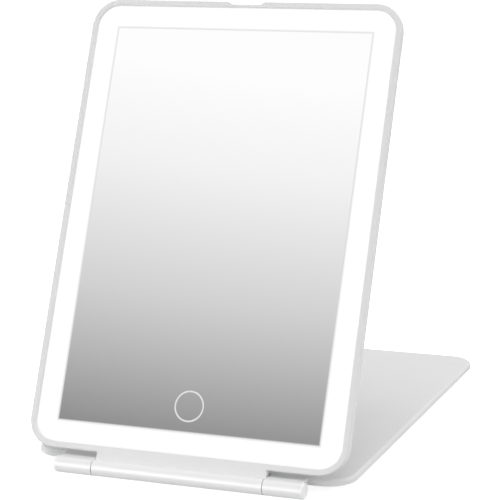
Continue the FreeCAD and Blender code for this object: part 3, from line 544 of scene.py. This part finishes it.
frosted, tree, shader = new_material("lit_frosted_border", Base_Color=(0.08, 0.08, 0.08, 1.0), Roughness=0.12)
place = pane_place(tree)
mottle = add_node(tree, "ShaderNodeTexNoise", {"Vector": place, "Scale": 90.0, "Detail": 2.0}).outputs["Fac"]
level = ramp(tree, mottle, 0.0, 1.0, BORDER_DIM, 1.0)
from_silver = outline_distance(tree, place, SILVER, 0.0)
from_rim = outline_distance(tree, place, GLASS, PANEL_CORNER - GLASS_INSET)
beside_silver = ramp(tree, from_silver, 0.0, SILVER_FADE * MM, SILVER_SHADE, 1.0)
beside_rim = ramp(tree, from_rim, -RIM_FADE * MM, 0.0, 1.0, RIM_SHADE)
lit = calc(tree, "MULTIPLY", level, calc(tree, "MULTIPLY", beside_silver, beside_rim))
tree.links.new(lit, shader["Emission Color"])
seen = add_node(tree, "ShaderNodeLightPath").outputs["Is Camera Ray"]
tree.links.new(ramp(tree, seen, 0.0, 1.0, BORDER_SPILL, 1.0), shader["Emission Strength"])

ring_glow, tree, shader = new_material(
    "lit_ring_mark", Base_Color=(0.1, 0.1, 0.1, 1.0), Roughness=0.2, Emission_Strength=1.0
)
mottle = add_node(tree, "ShaderNodeTexNoise", {"Vector": pane_place(tree), "Scale": 300.0}).outputs["Fac"]
tree.links.new(ramp(tree, mottle, 0.0, 1.0, RING_DIM, RING_BRIGHT), shader["Emission Color"])
print("pane finishes:", [material.name for material in (silver, frosted, ring_glow)])

# %% Border, silver and ring
RING_Y = 31.6
RING_OUTER = 7.0
RING_LINE = 0.64
ARRIS, FINE_ARRIS = 0.06, 0.01


def coated(name, *loops):
    """A plate that reaches from the face of the glass to the back of its coating, in its place."""
    mesh = plate(name, loops, COATING_BACK, GLASS_FRONT, FINE_ARRIS)
    mesh.transform(HEAD)
    return mesh


left, right, low, high = SILVER
window = rectangle_loop(left - SEAT_GAP, right + SEAT_GAP, low - SEAT_GAP, high + SEAT_GAP)
border = plate("lit_border", [rounded_loop(GLASS_INSET), window], GLASS_BACK, GLASS_FRONT, ARRIS)
border.transform(HEAD)
ring_inner = RING_OUTER - RING_LINE
ring_hole = circle_loop(0, RING_Y, RING_OUTER + SEAT_GAP)
silvered = coated("silvered_middle", rectangle_loop(*SILVER), ring_hole)
island = coated("silvered_island", circle_loop(0, RING_Y, ring_inner - SEAT_GAP))
ring = coated("ring_mark", circle_loop(0, RING_Y, RING_OUTER), circle_loop(0, RING_Y, ring_inner))
piece("lit_border", border, frosted, "head", "clear_glass", "mirror_glass")
piece("silvered_middle", silvered, silver, "head", "silver", "silver_coating")
piece("silvered_island", island, silver, "head", "silver")
piece("ring_mark", ring, ring_glow, "head", "ring_mark", "touch_ring")

# %% [markdown]
# ## The front frame
# The frame is one slim section that runs once round the panel: rounded outside, almost upright where it
# meets the glass, with a lip that drops into the rear shell. A section that follows a path is a job for
# Geometry Nodes. The tree draws the path from the panel's width, height and corner, and sweeps the section
# along it with Curve to Mesh. It then moves points in the two places where the rim changes: the thumb scoop
# at the top, and the foot, where it closes up against the hinge's web.

# %% Outlines with rounded corners
HOLD = 0.06


def soft_outline(corners, steps=4, closed=True):
    """Rounds the corners (x, y, radius), with a holding point beside each arc that keeps flats flat."""
    points = []
    for index, (x, y, radius) in enumerate(corners):
        here = Vector((x, y))
        if radius == 0 or (not closed and index in (0, len(corners) - 1)):
            points.append(here)
            continue
        back = (Vector(corners[index - 1][:2]) - here).normalized()
        ahead = (Vector(corners[(index + 1) % len(corners)][:2]) - here).normalized()
        half = back.angle(ahead) / 2
        reach = radius / math.tan(half)
        centre = here + (back + ahead).normalized() * radius / math.sin(half)
        start = here + back * reach - centre
        end = here + ahead * reach - centre
        points.append(here + back * (reach + HOLD))
        points += [centre + radius * start.slerp(end, step / steps) for step in range(steps + 1)]
        points.append(here + ahead * (reach + HOLD))
    return points


RIM_LEVEL = -0.5
PARTING_LEVEL = -2.8
LIP_LEVEL = -4.0
RIM_WIDTH = 2.8
LIP_INSET = 1.2
RIM_DRAFT = 0.05
RIM_ROUND = 0.55

rim_section = soft_outline([
    (0.0, PARTING_LEVEL, 0.2),
    (0.0, RIM_LEVEL, RIM_ROUND),
    (RIM_WIDTH - RIM_DRAFT, RIM_LEVEL, 0.15),
    (RIM_WIDTH, GLASS_FRONT, 0.0),
    (RIM_WIDTH, LIP_LEVEL, 0.0),
    (LIP_INSET, LIP_LEVEL, 0.1),
    (LIP_INSET, PARTING_LEVEL, 0.0),
])
print("points in the rim's section:", len(rim_section))

# %% A tree that sweeps the rim
CORNER_POINTS = 40
TUCK_FADE = (0.7, 1.8)
FACE_FADE = (0.6, 0.7)


def new_tree(name, inputs):
    """A geometry tree with a Geometry input, the named inputs and one output."""
    tree = bpy.data.node_groups.new(name, "GeometryNodeTree")
    tree.interface.new_socket("Geometry", in_out="INPUT", socket_type="NodeSocketGeometry")
    for label, kind in inputs:
        tree.interface.new_socket(label, in_out="INPUT", socket_type="NodeSocket" + kind)
    tree.interface.new_socket("Geometry", in_out="OUTPUT", socket_type="NodeSocketGeometry")
    return tree, tree.nodes.new("NodeGroupInput").outputs, tree.nodes.new("NodeGroupOutput").inputs


def end_tree(tree, geometry, finish, result):
    """Ends a tree: instances are made real, the finish is set, and the geometry goes to the output."""
    whole = add_node(tree, "GeometryNodeRealizeInstances", {"Geometry": geometry}).outputs["Geometry"]
    finished = add_node(tree, "GeometryNodeSetMaterial", {"Geometry": whole, "Material": finish})
    tree.links.new(finished.outputs["Geometry"], result["Geometry"])
    print("nodes in the tree", tree.name, len(tree.nodes))


rim_tree, given, result = new_tree("swept_rim", [
    ("Width", "Float"), ("Height", "Float"), ("Corner", "Float"), ("Step", "Float"), ("Rim Level", "Float"),
    ("Scoop Width", "Float"), ("Scoop Depth", "Float"), ("Scoop Reach", "Float"), ("Scoop Ease", "Float"),
    ("Web Width", "Float"), ("Foot Tuck", "Float"), ("Rim Round", "Float"), ("Finish", "Material"),
])
panel = add_node(rim_tree, "GeometryNodeCurvePrimitiveQuadrilateral", {
    "Width": given["Width"], "Height": given["Height"],
})
rounded = add_node(rim_tree, "GeometryNodeFilletCurve", {
    "Curve": panel.outputs["Curve"], "Count": CORNER_POINTS, "Radius": given["Corner"],
}, mode="POLY")
path = add_node(rim_tree, "GeometryNodeResampleCurve", {
    "Curve": rounded.outputs["Curve"], "Length": given["Step"],
}, mode="LENGTH")
upright = add_node(rim_tree, "GeometryNodeSetCurveNormal", {"Curve": path.outputs["Curve"]}, mode="Z_UP")
section = add_node(rim_tree, "GeometryNodeMeshToCurve", {"Mesh": given["Geometry"]})
swept = add_node(rim_tree, "GeometryNodeCurveToMesh", {
    "Curve": upright.outputs["Curve"], "Profile Curve": section.outputs["Curve"],
})
position = add_node(rim_tree, "GeometryNodeInputPosition").outputs[0]
spot = add_node(rim_tree, "ShaderNodeSeparateXYZ", {"Vector": position}).outputs
half_height = calc(rim_tree, "MULTIPLY", given["Height"], 0.5)
aside = calc(rim_tree, "ABSOLUTE", spot["X"])

below_top = calc(rim_tree, "SUBTRACT", half_height, spot["Y"])
behind = calc(rim_tree, "SUBTRACT", given["Rim Level"], spot["Z"])
slant = ramp(rim_tree, behind, 0.0, given["Scoop Reach"], given["Scoop Depth"], 0.0)
scoop_half = calc(rim_tree, "MULTIPLY", given["Scoop Width"], 0.5)
scoop_end = calc(rim_tree, "SUBTRACT", scoop_half, given["Scoop Ease"])
scooped = ramp(rim_tree, aside, scoop_end, scoop_half, 1.0, 0.0)
cut = calc(rim_tree, "MULTIPLY", slant, scooped)
scoop = calc(rim_tree, "MAXIMUM", calc(rim_tree, "SUBTRACT", cut, below_top), 0.0)

above_foot = calc(rim_tree, "ADD", half_height, spot["Y"])
tuck_in = ramp(rim_tree, above_foot, 0.0, given["Rim Round"], 0.0, given["Foot Tuck"])
tuck_out = ramp(rim_tree, above_foot, *TUCK_FADE, 1.0, 0.0)
on_face = ramp(rim_tree, behind, *FACE_FADE, 1.0, 0.0)
web_half = calc(rim_tree, "MULTIPLY", given["Web Width"], 0.5)
by_web = calc(rim_tree, "MULTIPLY", calc(rim_tree, "LESS_THAN", aside, web_half), on_face)
tuck = calc(rim_tree, "MULTIPLY", calc(rim_tree, "MULTIPLY", tuck_in, tuck_out), by_web)
drop = calc(rim_tree, "MULTIPLY", calc(rim_tree, "ADD", scoop, tuck), -1.0)

shift = add_node(rim_tree, "ShaderNodeCombineXYZ", {"Y": drop})
shaped = add_node(rim_tree, "GeometryNodeSetPosition", {
    "Geometry": swept.outputs["Mesh"], "Offset": shift.outputs["Vector"],
})
end_tree(rim_tree, shaped.outputs["Geometry"], given["Finish"], result)

# %% Grow the rim
def outline_mesh(name, points):
    """A closed loop of edges, for a tree to sweep."""
    mesh = bpy.data.meshes.new(name)
    loop = [(index, (index + 1) % len(points)) for index in range(len(points))]
    mesh.from_pydata([(x, y, 0.0) for x, y in points], loop, [])
    return mesh


def grow(name, seed_mesh, tree, **values):
    """Runs a geometry tree on a carrier object, and gives back the result as a plain mesh."""
    carrier = bpy.data.objects.new(name, seed_mesh)
    growth = carrier.modifiers.new(tree.name, "NODES")
    growth.node_group = tree
    for item in tree.interface.items_tree:
        key = item.name.replace(" ", "_")
        if item.in_out == "INPUT" and key in values:
            growth[item.identifier] = values[key]
    return plain_mesh(carrier)


CREASE = 35.0


def shade(mesh, crease=CREASE):
    """Shades all but sharp edges smooth."""
    mesh.shade_smooth()
    mesh.set_sharp_from_angle(angle=math.radians(crease))


def tidy_mesh(mesh, crease=CREASE):
    """Closes up a mesh that is drawn in millimetres, and shades it."""
    close_up(mesh, DOUBLES)
    shade(mesh, crease)
    return mesh


PANEL_MIDDLE = (PANEL_FOOT + PANEL_TOP) / 2
RIM_STEP = 0.7
SCOOP_WIDTH, SCOOP_DEPTH, SCOOP_REACH, SCOOP_EASE = 18.0, 1.9, 3.47, 2.0
WEB_WIDTH = 81.2
TUCK_SLACK = 0.01

swept_section = outline_mesh("rim_section", [(-inward, -level) for inward, level in rim_section])
rim = grow(
    "front_rim", swept_section, rim_tree,
    Width=2 * PANEL_HALF, Height=PANEL_TOP - PANEL_FOOT, Corner=PANEL_CORNER, Step=RIM_STEP,
    Scoop_Width=SCOOP_WIDTH, Scoop_Depth=SCOOP_DEPTH, Scoop_Reach=SCOOP_REACH, Scoop_Ease=SCOOP_EASE,
    Web_Width=WEB_WIDTH, Foot_Tuck=RIM_ROUND - TUCK_SLACK, Rim_Round=RIM_ROUND, Rim_Level=RIM_LEVEL,
    Finish=white_satin,
)
tidy_mesh(rim)
rim.transform(HEAD @ SMALL @ Matrix.Translation((0.0, PANEL_MIDDLE, 0.0)))
piece("front_rim", rim, white_satin, "head", "white_shell", "front_frame")

# %% [markdown]
# ## Hinge caps and rest pads
# Two turned shapes: the caps that close the hinge barrel at each end, and the rubber pads under the far end
# of the cover. On both, the small rounding of the rim is what catches light. A lathe makes them: an outline
# of lengths and radii is spun once round the X axis, so every edge is as round as its outline says.

# %% Turn outlines on a lathe
def lathe(name, outline, steps=64):
    """Spins an open outline of (along, radius) points about X. Its ends lie on the axis, so it closes."""
    work = bmesh.new()
    row = [work.verts.new((along, radius, 0.0)) for along, radius in outline]
    rungs = [work.edges.new(pair) for pair in zip(row, row[1:])]
    bmesh.ops.spin(work, geom=row + rungs, axis=(1, 0, 0), angle=2 * math.pi, steps=steps)
    mesh = bpy.data.meshes.new(name)
    work.to_mesh(mesh)
    work.free()
    return tidy_mesh(mesh)


CAP_INNER, CAP_FACE, CAP_PLUG_END, CAP_PLUG_RADIUS = 58.0, 59.5, 56.0, 1.29
CAP_RADIUS, CAP_ROUND = 3.645, 0.8
cap_outline = soft_outline([
    (CAP_PLUG_END, 0.0, 0.0),
    (CAP_PLUG_END, CAP_PLUG_RADIUS, 0.2),
    (CAP_INNER, CAP_PLUG_RADIUS, 0.0),
    (CAP_INNER, CAP_RADIUS, 0.05),
    (CAP_FACE, CAP_RADIUS, CAP_ROUND),
    (CAP_FACE, 0.0, 0.0),
], closed=False)
for side, name in ((-1, "hinge_cap_left"), (1, "hinge_cap_right")):
    cap = lathe("turned_" + name, cap_outline)
    cap.transform(Matrix.Diagonal((side, 1.0, 1.0, 1.0)))
    tidy_mesh(cap)
    cap.transform(Matrix.Translation(hinge) @ SMALL)
    piece("turned_" + name, cap, cap_white, "base", "white_shell", name)

# %% Pads with a ringed tread
PAD_RADIUS = 4.97
TREAD = 0.15
TREAD_RINGS = (1.4, 2.6, 3.8)
GROOVE_MOUTH, GROOVE_FLOOR = 0.3, 0.2
SEAT_SLACK = 0.17

pad_rubber = grained(
    "pad_rubber", (0.46, 0.46, 0.46), (0.41, 0.41, 0.41), 0.75, 0.9, grain=1800.0, depth=0.00006
)
for name in ("rest_pad_left", "rest_pad_right"):
    low, high = (Vector(corner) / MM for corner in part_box(name))
    corners = [(0.0, 0.0, 0.0)]
    for ring_radius in TREAD_RINGS:
        corners += [(0.0, ring_radius - GROOVE_MOUTH, 0.0), (TREAD, ring_radius - GROOVE_FLOOR, 0.0)]
        corners += [(TREAD, ring_radius + GROOVE_FLOOR, 0.0), (0.0, ring_radius + GROOVE_MOUTH, 0.0)]
    top = high.z - low.z - SEAT_SLACK
    corners += [(0.0, PAD_RADIUS, 0.25), (top, PAD_RADIUS, 0.1), (top, 0.0, 0.0)]
    pad = lathe("treaded_" + name, soft_outline(corners, closed=False))
    pad.transform(Matrix.Rotation(-math.pi / 2, 4, "Y"))
    pad.transform(SMALL @ Matrix.Translation(((low.x + high.x) / 2, (low.y + high.y) / 2, low.z)))
    piece("treaded_" + name, pad, pad_rubber, "base", "pad_rubber", name)

# %% [markdown]
# ## The charging socket
# A USB-C socket is a drawn steel shell with a flat black tongue inside, and twelve gilded contacts on each
# side of the tongue. The shell is a loft: the same stadium outline at several depths and sizes, joined ring
# to ring, out along the wall, round the lip and back in. The contacts repeat at an even pitch, so Geometry
# Nodes sets them out along a line.

# %% Loft the shell and the tongue
def stadium(width, height, x, steps=12):
    """A slot outline with round ends, at one depth x."""
    radius = height / 2
    straight = width / 2 - radius
    loop = []
    for index, shift in enumerate((straight, -straight)):
        for step in range(steps + 1):
            angle = -math.pi / 2 + math.pi * (index + step / steps)
            loop.append((x, shift + radius * math.cos(angle), radius * math.sin(angle)))
    return loop


def loft(name, loops):
    """Joins equal loops ring to ring and closes both ends."""
    work = bmesh.new()
    rings = [[work.verts.new(point) for point in loop] for loop in loops]
    for ring, following in zip(rings, rings[1:]):
        for index in range(len(ring)):
            ahead = (index + 1) % len(ring)
            work.faces.new((ring[index], ring[ahead], following[ahead], following[index]))
    work.faces.new(rings[0])
    work.faces.new(rings[-1])
    mesh = bpy.data.meshes.new(name)
    work.to_mesh(mesh)
    work.free()
    return tidy_mesh(mesh)


SOCKET_Y, SOCKET_LEVEL = 30.7, -6.7
SOCKET_PLACE = HEAD @ SMALL @ Matrix.Translation((0.0, SOCKET_Y, SOCKET_LEVEL))
SOCKET_MOUTH, SOCKET_END, SOCKET_FLOOR = -73.4, -66.05, -67.15
SOCKET_WIDTH, SOCKET_HEIGHT, SOCKET_WALL = 8.94, 3.2, 0.3
TONGUE_TIP, TONGUE_WIDTH, TONGUE_HEIGHT = -72.6, 6.7, 0.7

drawn_steel = grained(
    "drawn_steel", (0.62, 0.62, 0.63), (0.5, 0.5, 0.51), 0.25, 0.4, depth=0.000004, Metallic=1.0
)
moulded_black = grained("moulded_black", (0.03, 0.03, 0.032), (0.02, 0.02, 0.022), 0.45, 0.6, depth=0.000008)
gilt = grained("gilt_contact", (0.9, 0.66, 0.3), (0.8, 0.56, 0.24), 0.2, 0.3, depth=0.0, Metallic=1.0)

shell = loft("socket_shell", [
    stadium(SOCKET_WIDTH - shrink, SOCKET_HEIGHT - shrink, x) for x, shrink in (
        (SOCKET_END, 0.1), (SOCKET_END - 0.05, 0.0), (SOCKET_MOUTH + 0.1, 0.0), (SOCKET_MOUTH, 0.15),
        (SOCKET_MOUTH, 2 * SOCKET_WALL - 0.15), (SOCKET_MOUTH + 0.1, 2 * SOCKET_WALL),
        (SOCKET_FLOOR, 2 * SOCKET_WALL),
    )
])
tongue = loft("socket_tongue", [
    stadium(TONGUE_WIDTH - shrink, TONGUE_HEIGHT - shrink, x)
    for x, shrink in ((SOCKET_FLOOR - 0.01, 0.0), (TONGUE_TIP + 0.15, 0.0), (TONGUE_TIP, 0.2))
])
for mesh in (shell, tongue):
    mesh.transform(SOCKET_PLACE)
piece("socket_shell", shell, drawn_steel, "head", "socket_steel", "usb_c_socket")
piece("socket_tongue", tongue, moulded_black, "head", "chip_black")

# %% A tree for rows, and the contacts
row_tree, given, result = new_tree("even_rows", [
    ("Count", "Int"), ("Pitch", "Float"), ("Start", "Float"), ("Reach", "Float"), ("Turn", "Vector"),
    ("Other Count", "Int"), ("Other Start", "Float"), ("Other Reach", "Float"), ("Other Turn", "Vector"),
    ("Half Turn", "Vector"), ("Finish", "Material"),
])


def laid_row(count, start, reach, turn):
    """Copies of the seed along X at an even pitch, turned to one side of a frame and to the opposite side."""
    first = add_node(row_tree, "ShaderNodeCombineXYZ", {
        "X": start, "Y": calc(row_tree, "MULTIPLY", reach, -1.0),
    })
    step = add_node(row_tree, "ShaderNodeCombineXYZ", {"X": given["Pitch"]})
    line = add_node(row_tree, "GeometryNodeMeshLine", {
        "Count": count, "Start Location": first.outputs["Vector"], "Offset": step.outputs["Vector"],
    })
    copies = add_node(row_tree, "GeometryNodeInstanceOnPoints", {
        "Points": line.outputs["Mesh"], "Instance": given["Geometry"],
    })
    near = add_node(row_tree, "GeometryNodeTransform", {
        "Geometry": copies.outputs["Instances"], "Rotation": turn,
    }).outputs["Geometry"]
    far = add_node(row_tree, "GeometryNodeTransform", {"Geometry": near, "Rotation": given["Half Turn"]})
    return near, far.outputs["Geometry"]


rows = laid_row(given["Count"], given["Start"], given["Reach"], given["Turn"])
rows += laid_row(given["Other Count"], given["Other Start"], given["Other Reach"], given["Other Turn"])
joined = add_node(row_tree, "GeometryNodeJoinGeometry")
for row in rows:
    row_tree.links.new(row, joined.inputs["Geometry"])
end_tree(row_tree, joined.outputs["Geometry"], given["Finish"], result)


def block(name, size, place=(0.0, 0.0, 0.0), chamfer=0.0):
    """A block with chamfered edges, to be copied by a tree."""
    work = bmesh.new()
    bmesh.ops.create_cube(work, size=1.0, matrix=Matrix.Translation(place) @ Matrix.Diagonal((*size, 1.0)))
    if chamfer:
        bmesh.ops.bevel(work, geom=work.edges[:], offset=chamfer, segments=1, affect="EDGES")
    mesh = bpy.data.meshes.new(name)
    work.to_mesh(mesh)
    work.free()
    return mesh


def row_start(count, pitch):
    """Where an even row starts, so that its middle lies at zero."""
    return -(count - 1) / 2 * pitch


NO_TURN, QUARTER_TURN, HALF_TURN = (0.0, 0.0, 0.0), (0.0, 0.0, math.pi / 2), (0.0, 0.0, math.pi)
CONTACTS, CONTACT_PITCH = 12, 0.5
CONTACT_SIZE = (0.25, 0.06, 3.6)
CONTACT_RISE = 0.02
CONTACT_MIDDLE = -70.4

contacts = grow(
    "socket_contacts", block("contact", CONTACT_SIZE, chamfer=0.01), row_tree,
    Count=CONTACTS, Pitch=CONTACT_PITCH, Start=row_start(CONTACTS, CONTACT_PITCH),
    Reach=TONGUE_HEIGHT / 2 + CONTACT_RISE, Turn=NO_TURN,
    Other_Count=0, Other_Start=0.0, Other_Reach=0.0, Other_Turn=NO_TURN, Half_Turn=HALF_TURN, Finish=gilt,
)
tidy_mesh(contacts)
onto_tongue = Matrix(((0, 0, 1, CONTACT_MIDDLE), (1, 0, 0, 0), (0, 1, 0, 0), (0, 0, 0, 1)))
contacts.transform(SOCKET_PLACE @ onto_tongue)
piece("socket_contacts", contacts, gilt, "head", "copper_foil")

# %% [markdown]
# ## Lamps round the border
# Seventy-two small lamps look into the edge of the light guide, on all four sides. Each is a white package
# with a yellow phosphor window. The same tree that set out the contacts sets out both: one pair of rows for
# the short sides and one for the long sides.

# %% Packages and windows
LAMP_PITCH = 8.3
LAMPS_ACROSS, LAMPS_UP = 14, 22
LAMP_INSET = 3.6
LAMP_LEVEL = -3.95
LAMP_SIZE = (2.0, 0.8, 1.4)
LAMP_CREASE = 20.0
WINDOW_SIZE = (1.5, 0.06, 0.9)

white_package = grained("lamp_package", (0.8, 0.8, 0.79), (0.74, 0.74, 0.73), 0.35, 0.5, depth=0.000008)
phosphor = grained("lamp_phosphor", (0.86, 0.74, 0.3), (0.8, 0.66, 0.24), 0.3, 0.45, depth=0.000008)
length, depth, height = LAMP_SIZE
sunk = WINDOW_SIZE[1]
package = block("package", (length, depth - sunk, height), (0.0, -sunk / 2, 0.0), 0.08)
lit_window = block("window", WINDOW_SIZE, (0.0, depth / 2 - sunk / 2, 0.0), 0.02)
lamp_rows = {
    "Count": LAMPS_ACROSS, "Pitch": LAMP_PITCH, "Start": row_start(LAMPS_ACROSS, LAMP_PITCH),
    "Reach": (PANEL_TOP - PANEL_FOOT) / 2 - LAMP_INSET, "Turn": NO_TURN,
    "Other_Count": LAMPS_UP, "Other_Start": row_start(LAMPS_UP, LAMP_PITCH),
    "Other_Reach": PANEL_HALF - LAMP_INSET, "Other_Turn": QUARTER_TURN, "Half_Turn": HALF_TURN,
}
packages = grow("lamp_packages", package, row_tree, Finish=white_package, **lamp_rows)
windows = grow("lamp_windows", lit_window, row_tree, Finish=phosphor, **lamp_rows)
for mesh in (packages, windows):
    tidy_mesh(mesh, LAMP_CREASE)
    mesh.transform(HEAD @ SMALL @ Matrix.Translation((0.0, PANEL_MIDDLE, LAMP_LEVEL)))
piece("lamp_packages", packages, white_package, "head", "led_phosphor", "leds")
piece("lamp_windows", windows, phosphor, "head", "led_phosphor")

# %% [markdown]
# ## Board screws
# Three pan-head screws hold the board. The part that tells a screw from a rivet is the cross in its head,
# so the head is made in two layers: a turned disc with its shank, and a top plate whose outline has a cross
# cut out of it. One screw is a template, and a small tree puts a copy on each of three points.

# %% One screw, copied onto three points
SCREW_HEAD, SCREW_SHANK, SCREW_DEPTH = 1.6, 0.8, 2.0
SCREW_STEPS = 32
HEAD_LAYER, TOP_LAYER = 0.45, 0.9
HEAD_ARRIS = 0.08
CROSS_ARM, CROSS_LINE = 0.95, 0.17
BOARD_FRONT = -6.3
SCREWS = [(7.3, 19.7), (-28.2, 19.7), (-63.7, 41.7)]

zinc = grained("zinc_plate", (0.6, 0.6, 0.61), (0.5, 0.5, 0.51), 0.3, 0.45, depth=0.000004, Metallic=1.0)
stem = lathe("stem", soft_outline([
    (-SCREW_DEPTH, 0.0, 0.0), (-SCREW_DEPTH, SCREW_SHANK, 0.25), (0.0, SCREW_SHANK, 0.0),
    (0.0, SCREW_HEAD, 0.1), (HEAD_LAYER, SCREW_HEAD, 0.0), (HEAD_LAYER, 0.0, 0.0),
], closed=False), SCREW_STEPS)
stem.transform(Matrix.Rotation(-math.pi / 2, 4, "Y"))
cross = []
for quarter in range(4):
    spin = Matrix.Rotation(quarter * math.pi / 2, 2)
    corners = ((CROSS_ARM, -CROSS_LINE), (CROSS_ARM, CROSS_LINE), (CROSS_LINE, CROSS_LINE))
    cross += [tuple(spin @ Vector(corner)) for corner in corners]
head_loops = [circle_loop(0, 0, SCREW_HEAD, SCREW_STEPS), cross]
crossed = plate("crossed", head_loops, HEAD_LAYER, TOP_LAYER, HEAD_ARRIS)
crossed.transform(Matrix.Scale(1 / MM, 4))
work = bmesh.new()
work.from_mesh(stem)
work.from_mesh(crossed)
screw_mesh = bpy.data.meshes.new("screw")
work.to_mesh(screw_mesh)
work.free()
screw = bpy.data.objects.new("screw", screw_mesh)
bpy.context.collection.objects.link(screw)

point_tree, given, result = new_tree("copy_on_points", [("Template", "Object"), ("Finish", "Material")])
template = add_node(point_tree, "GeometryNodeObjectInfo", {"Object": given["Template"]})
copies = add_node(point_tree, "GeometryNodeInstanceOnPoints", {
    "Points": given["Geometry"], "Instance": template.outputs["Geometry"],
})
end_tree(point_tree, copies.outputs["Instances"], given["Finish"], result)

places = bpy.data.meshes.new("screw_places")
places.from_pydata([(x, y, BOARD_FRONT) for x, y in SCREWS], [], [])
screws = grow("crossed_screws", places, point_tree, Template=screw, Finish=zinc)
bpy.data.objects.remove(screw)
shade(screws)
screws.transform(HEAD @ SMALL)
piece("crossed_screws", screws, zinc, "head", "screw_steel", "board_screws")

# %% [markdown]
# ## Finishes inside the panel
# Nothing inside shows from outside, but someone may open the model, so every hidden piece gets the finish
# of its real counterpart. Most need only the shared recipe with their own colours, roughness and grain.
# Three get one more layer: the board and the flexible strips carry fine printed lines, and the light guide
# carries the dots that scatter its light.

# %% Plain inner finishes
INNER = [
    ("clear_tape", (0.78, 0.79, 0.8), (0.72, 0.73, 0.74), 0.3, 0.5, 900.0, 0.00001, 0.0,
     ["glass_bond_tape", "battery_tape"]),
    ("opal_film", (0.86, 0.86, 0.85), (0.82, 0.82, 0.81), 0.55, 0.7, 3000.0, 0.000005, 0.0,
     ["diffuser_sheet"]),
    ("reflector_white", (0.88, 0.88, 0.88), (0.84, 0.84, 0.84), 0.15, 0.28, 1500.0, 0.000004, 0.0,
     ["reflector_sheet"]),
    ("bare_copper", (0.72, 0.36, 0.2), (0.6, 0.28, 0.15), 0.28, 0.45, 2200.0, 0.000004, 1.0,
     ["touch_sensor_pad"]),
    ("dark_foam", (0.06, 0.06, 0.063), (0.04, 0.04, 0.042), 0.85, 0.95, 2600.0, 0.00012, 0.0,
     ["touch_contact_foam"]),
    ("natural_nylon", (0.72, 0.68, 0.56), (0.66, 0.62, 0.5), 0.4, 0.55, 2500.0, 0.000008, 0.0,
     ["battery_plug", "flex_connector"]),
    ("oiled_steel", (0.5, 0.5, 0.51), (0.4, 0.4, 0.41), 0.18, 0.32, 3500.0, 0.000004, 1.0,
     ["hinge_pin_left", "hinge_pin_right", "friction_sleeve_left", "friction_sleeve_right"]),
    ("pouch_foil", (0.66, 0.67, 0.68), (0.56, 0.57, 0.58), 0.3, 0.5, 350.0, 0.00005, 1.0,
     ["battery_cell"]),
    ("red_sleeve", (0.5, 0.03, 0.03), (0.4, 0.02, 0.02), 0.4, 0.55, 2500.0, 0.000008, 0.0,
     ["battery_lead_red"]),
    ("black_sleeve", (0.02, 0.02, 0.02), (0.014, 0.014, 0.014), 0.4, 0.55, 2500.0, 0.000008, 0.0,
     ["battery_lead_black"]),
]
for name, pale, deep, low, high, grain, depth, metal, nodes in INNER:
    dress(grained(name, pale, deep, low, high, grain=grain, depth=depth, Metallic=metal), *nodes)
dress(moulded_black, "touch_chip", "charge_chip", "led_driver_chip")
print("plain inner finishes:", len(INNER))

# %% Printed and dotted finishes
TRACKS = {"Scale": 260.0, "Mortar Size": 0.035, "Brick Width": 1.3, "Row Height": 0.4}
DOTS = {"Scale": 700.0, "Randomness": 0.0}


def overprint(material, mask, ink):
    """Lays a second colour over a finish wherever the mask is 1."""
    tree = material.node_tree
    base_color = tree.nodes["Principled BSDF"].inputs["Base Color"]
    tree.links.new(blend(tree, mask, base_color.links[0].from_socket, (*ink, 1.0)), base_color)


solder_mask = grained("solder_mask", (0.02, 0.17, 0.075), (0.015, 0.13, 0.055), 0.25, 0.4, depth=0.000006)
tree = solder_mask.node_tree
tracks = add_node(tree, "ShaderNodeTexBrick", {"Vector": pane_place(tree), **TRACKS})
overprint(solder_mask, tracks.outputs["Fac"], (0.05, 0.3, 0.13))

flex_film = grained("flex_film", (0.82, 0.8, 0.72), (0.77, 0.75, 0.67), 0.4, 0.55, depth=0.000006)
tree = flex_film.node_tree
waves = {"Vector": pane_place(tree), "Scale": 400.0}
stripes = add_node(tree, "ShaderNodeTexWave", waves, bands_direction="DIAGONAL")
overprint(flex_film, ramp(tree, stripes.outputs["Fac"], 0.8, 0.9, 0.0, 1.0), (0.62, 0.42, 0.2))

dotted_acrylic = grained("dotted_acrylic", (0.8, 0.86, 0.86), (0.76, 0.83, 0.83), 0.06, 0.12, depth=0.0)
tree = dotted_acrylic.node_tree
cells = add_node(tree, "ShaderNodeTexVoronoi", {"Vector": pane_place(tree), **DOTS})
overprint(dotted_acrylic, ramp(tree, cells.outputs["Distance"], 0.25, 0.32, 1.0, 0.0), (0.93, 0.93, 0.93))

dress(solder_mask, "control_board")
dress(flex_film, "led_strip", "led_flex_tail")
dress(dotted_acrylic, "light_guide")
print("printed finishes:", [material.name for material in (solder_mask, flex_film, dotted_acrylic)])

# %% [markdown]
# ## The view
# The scene's view transform is set to Standard.

# %% Finish
bpy.context.scene.view_settings.view_transform = "Standard"
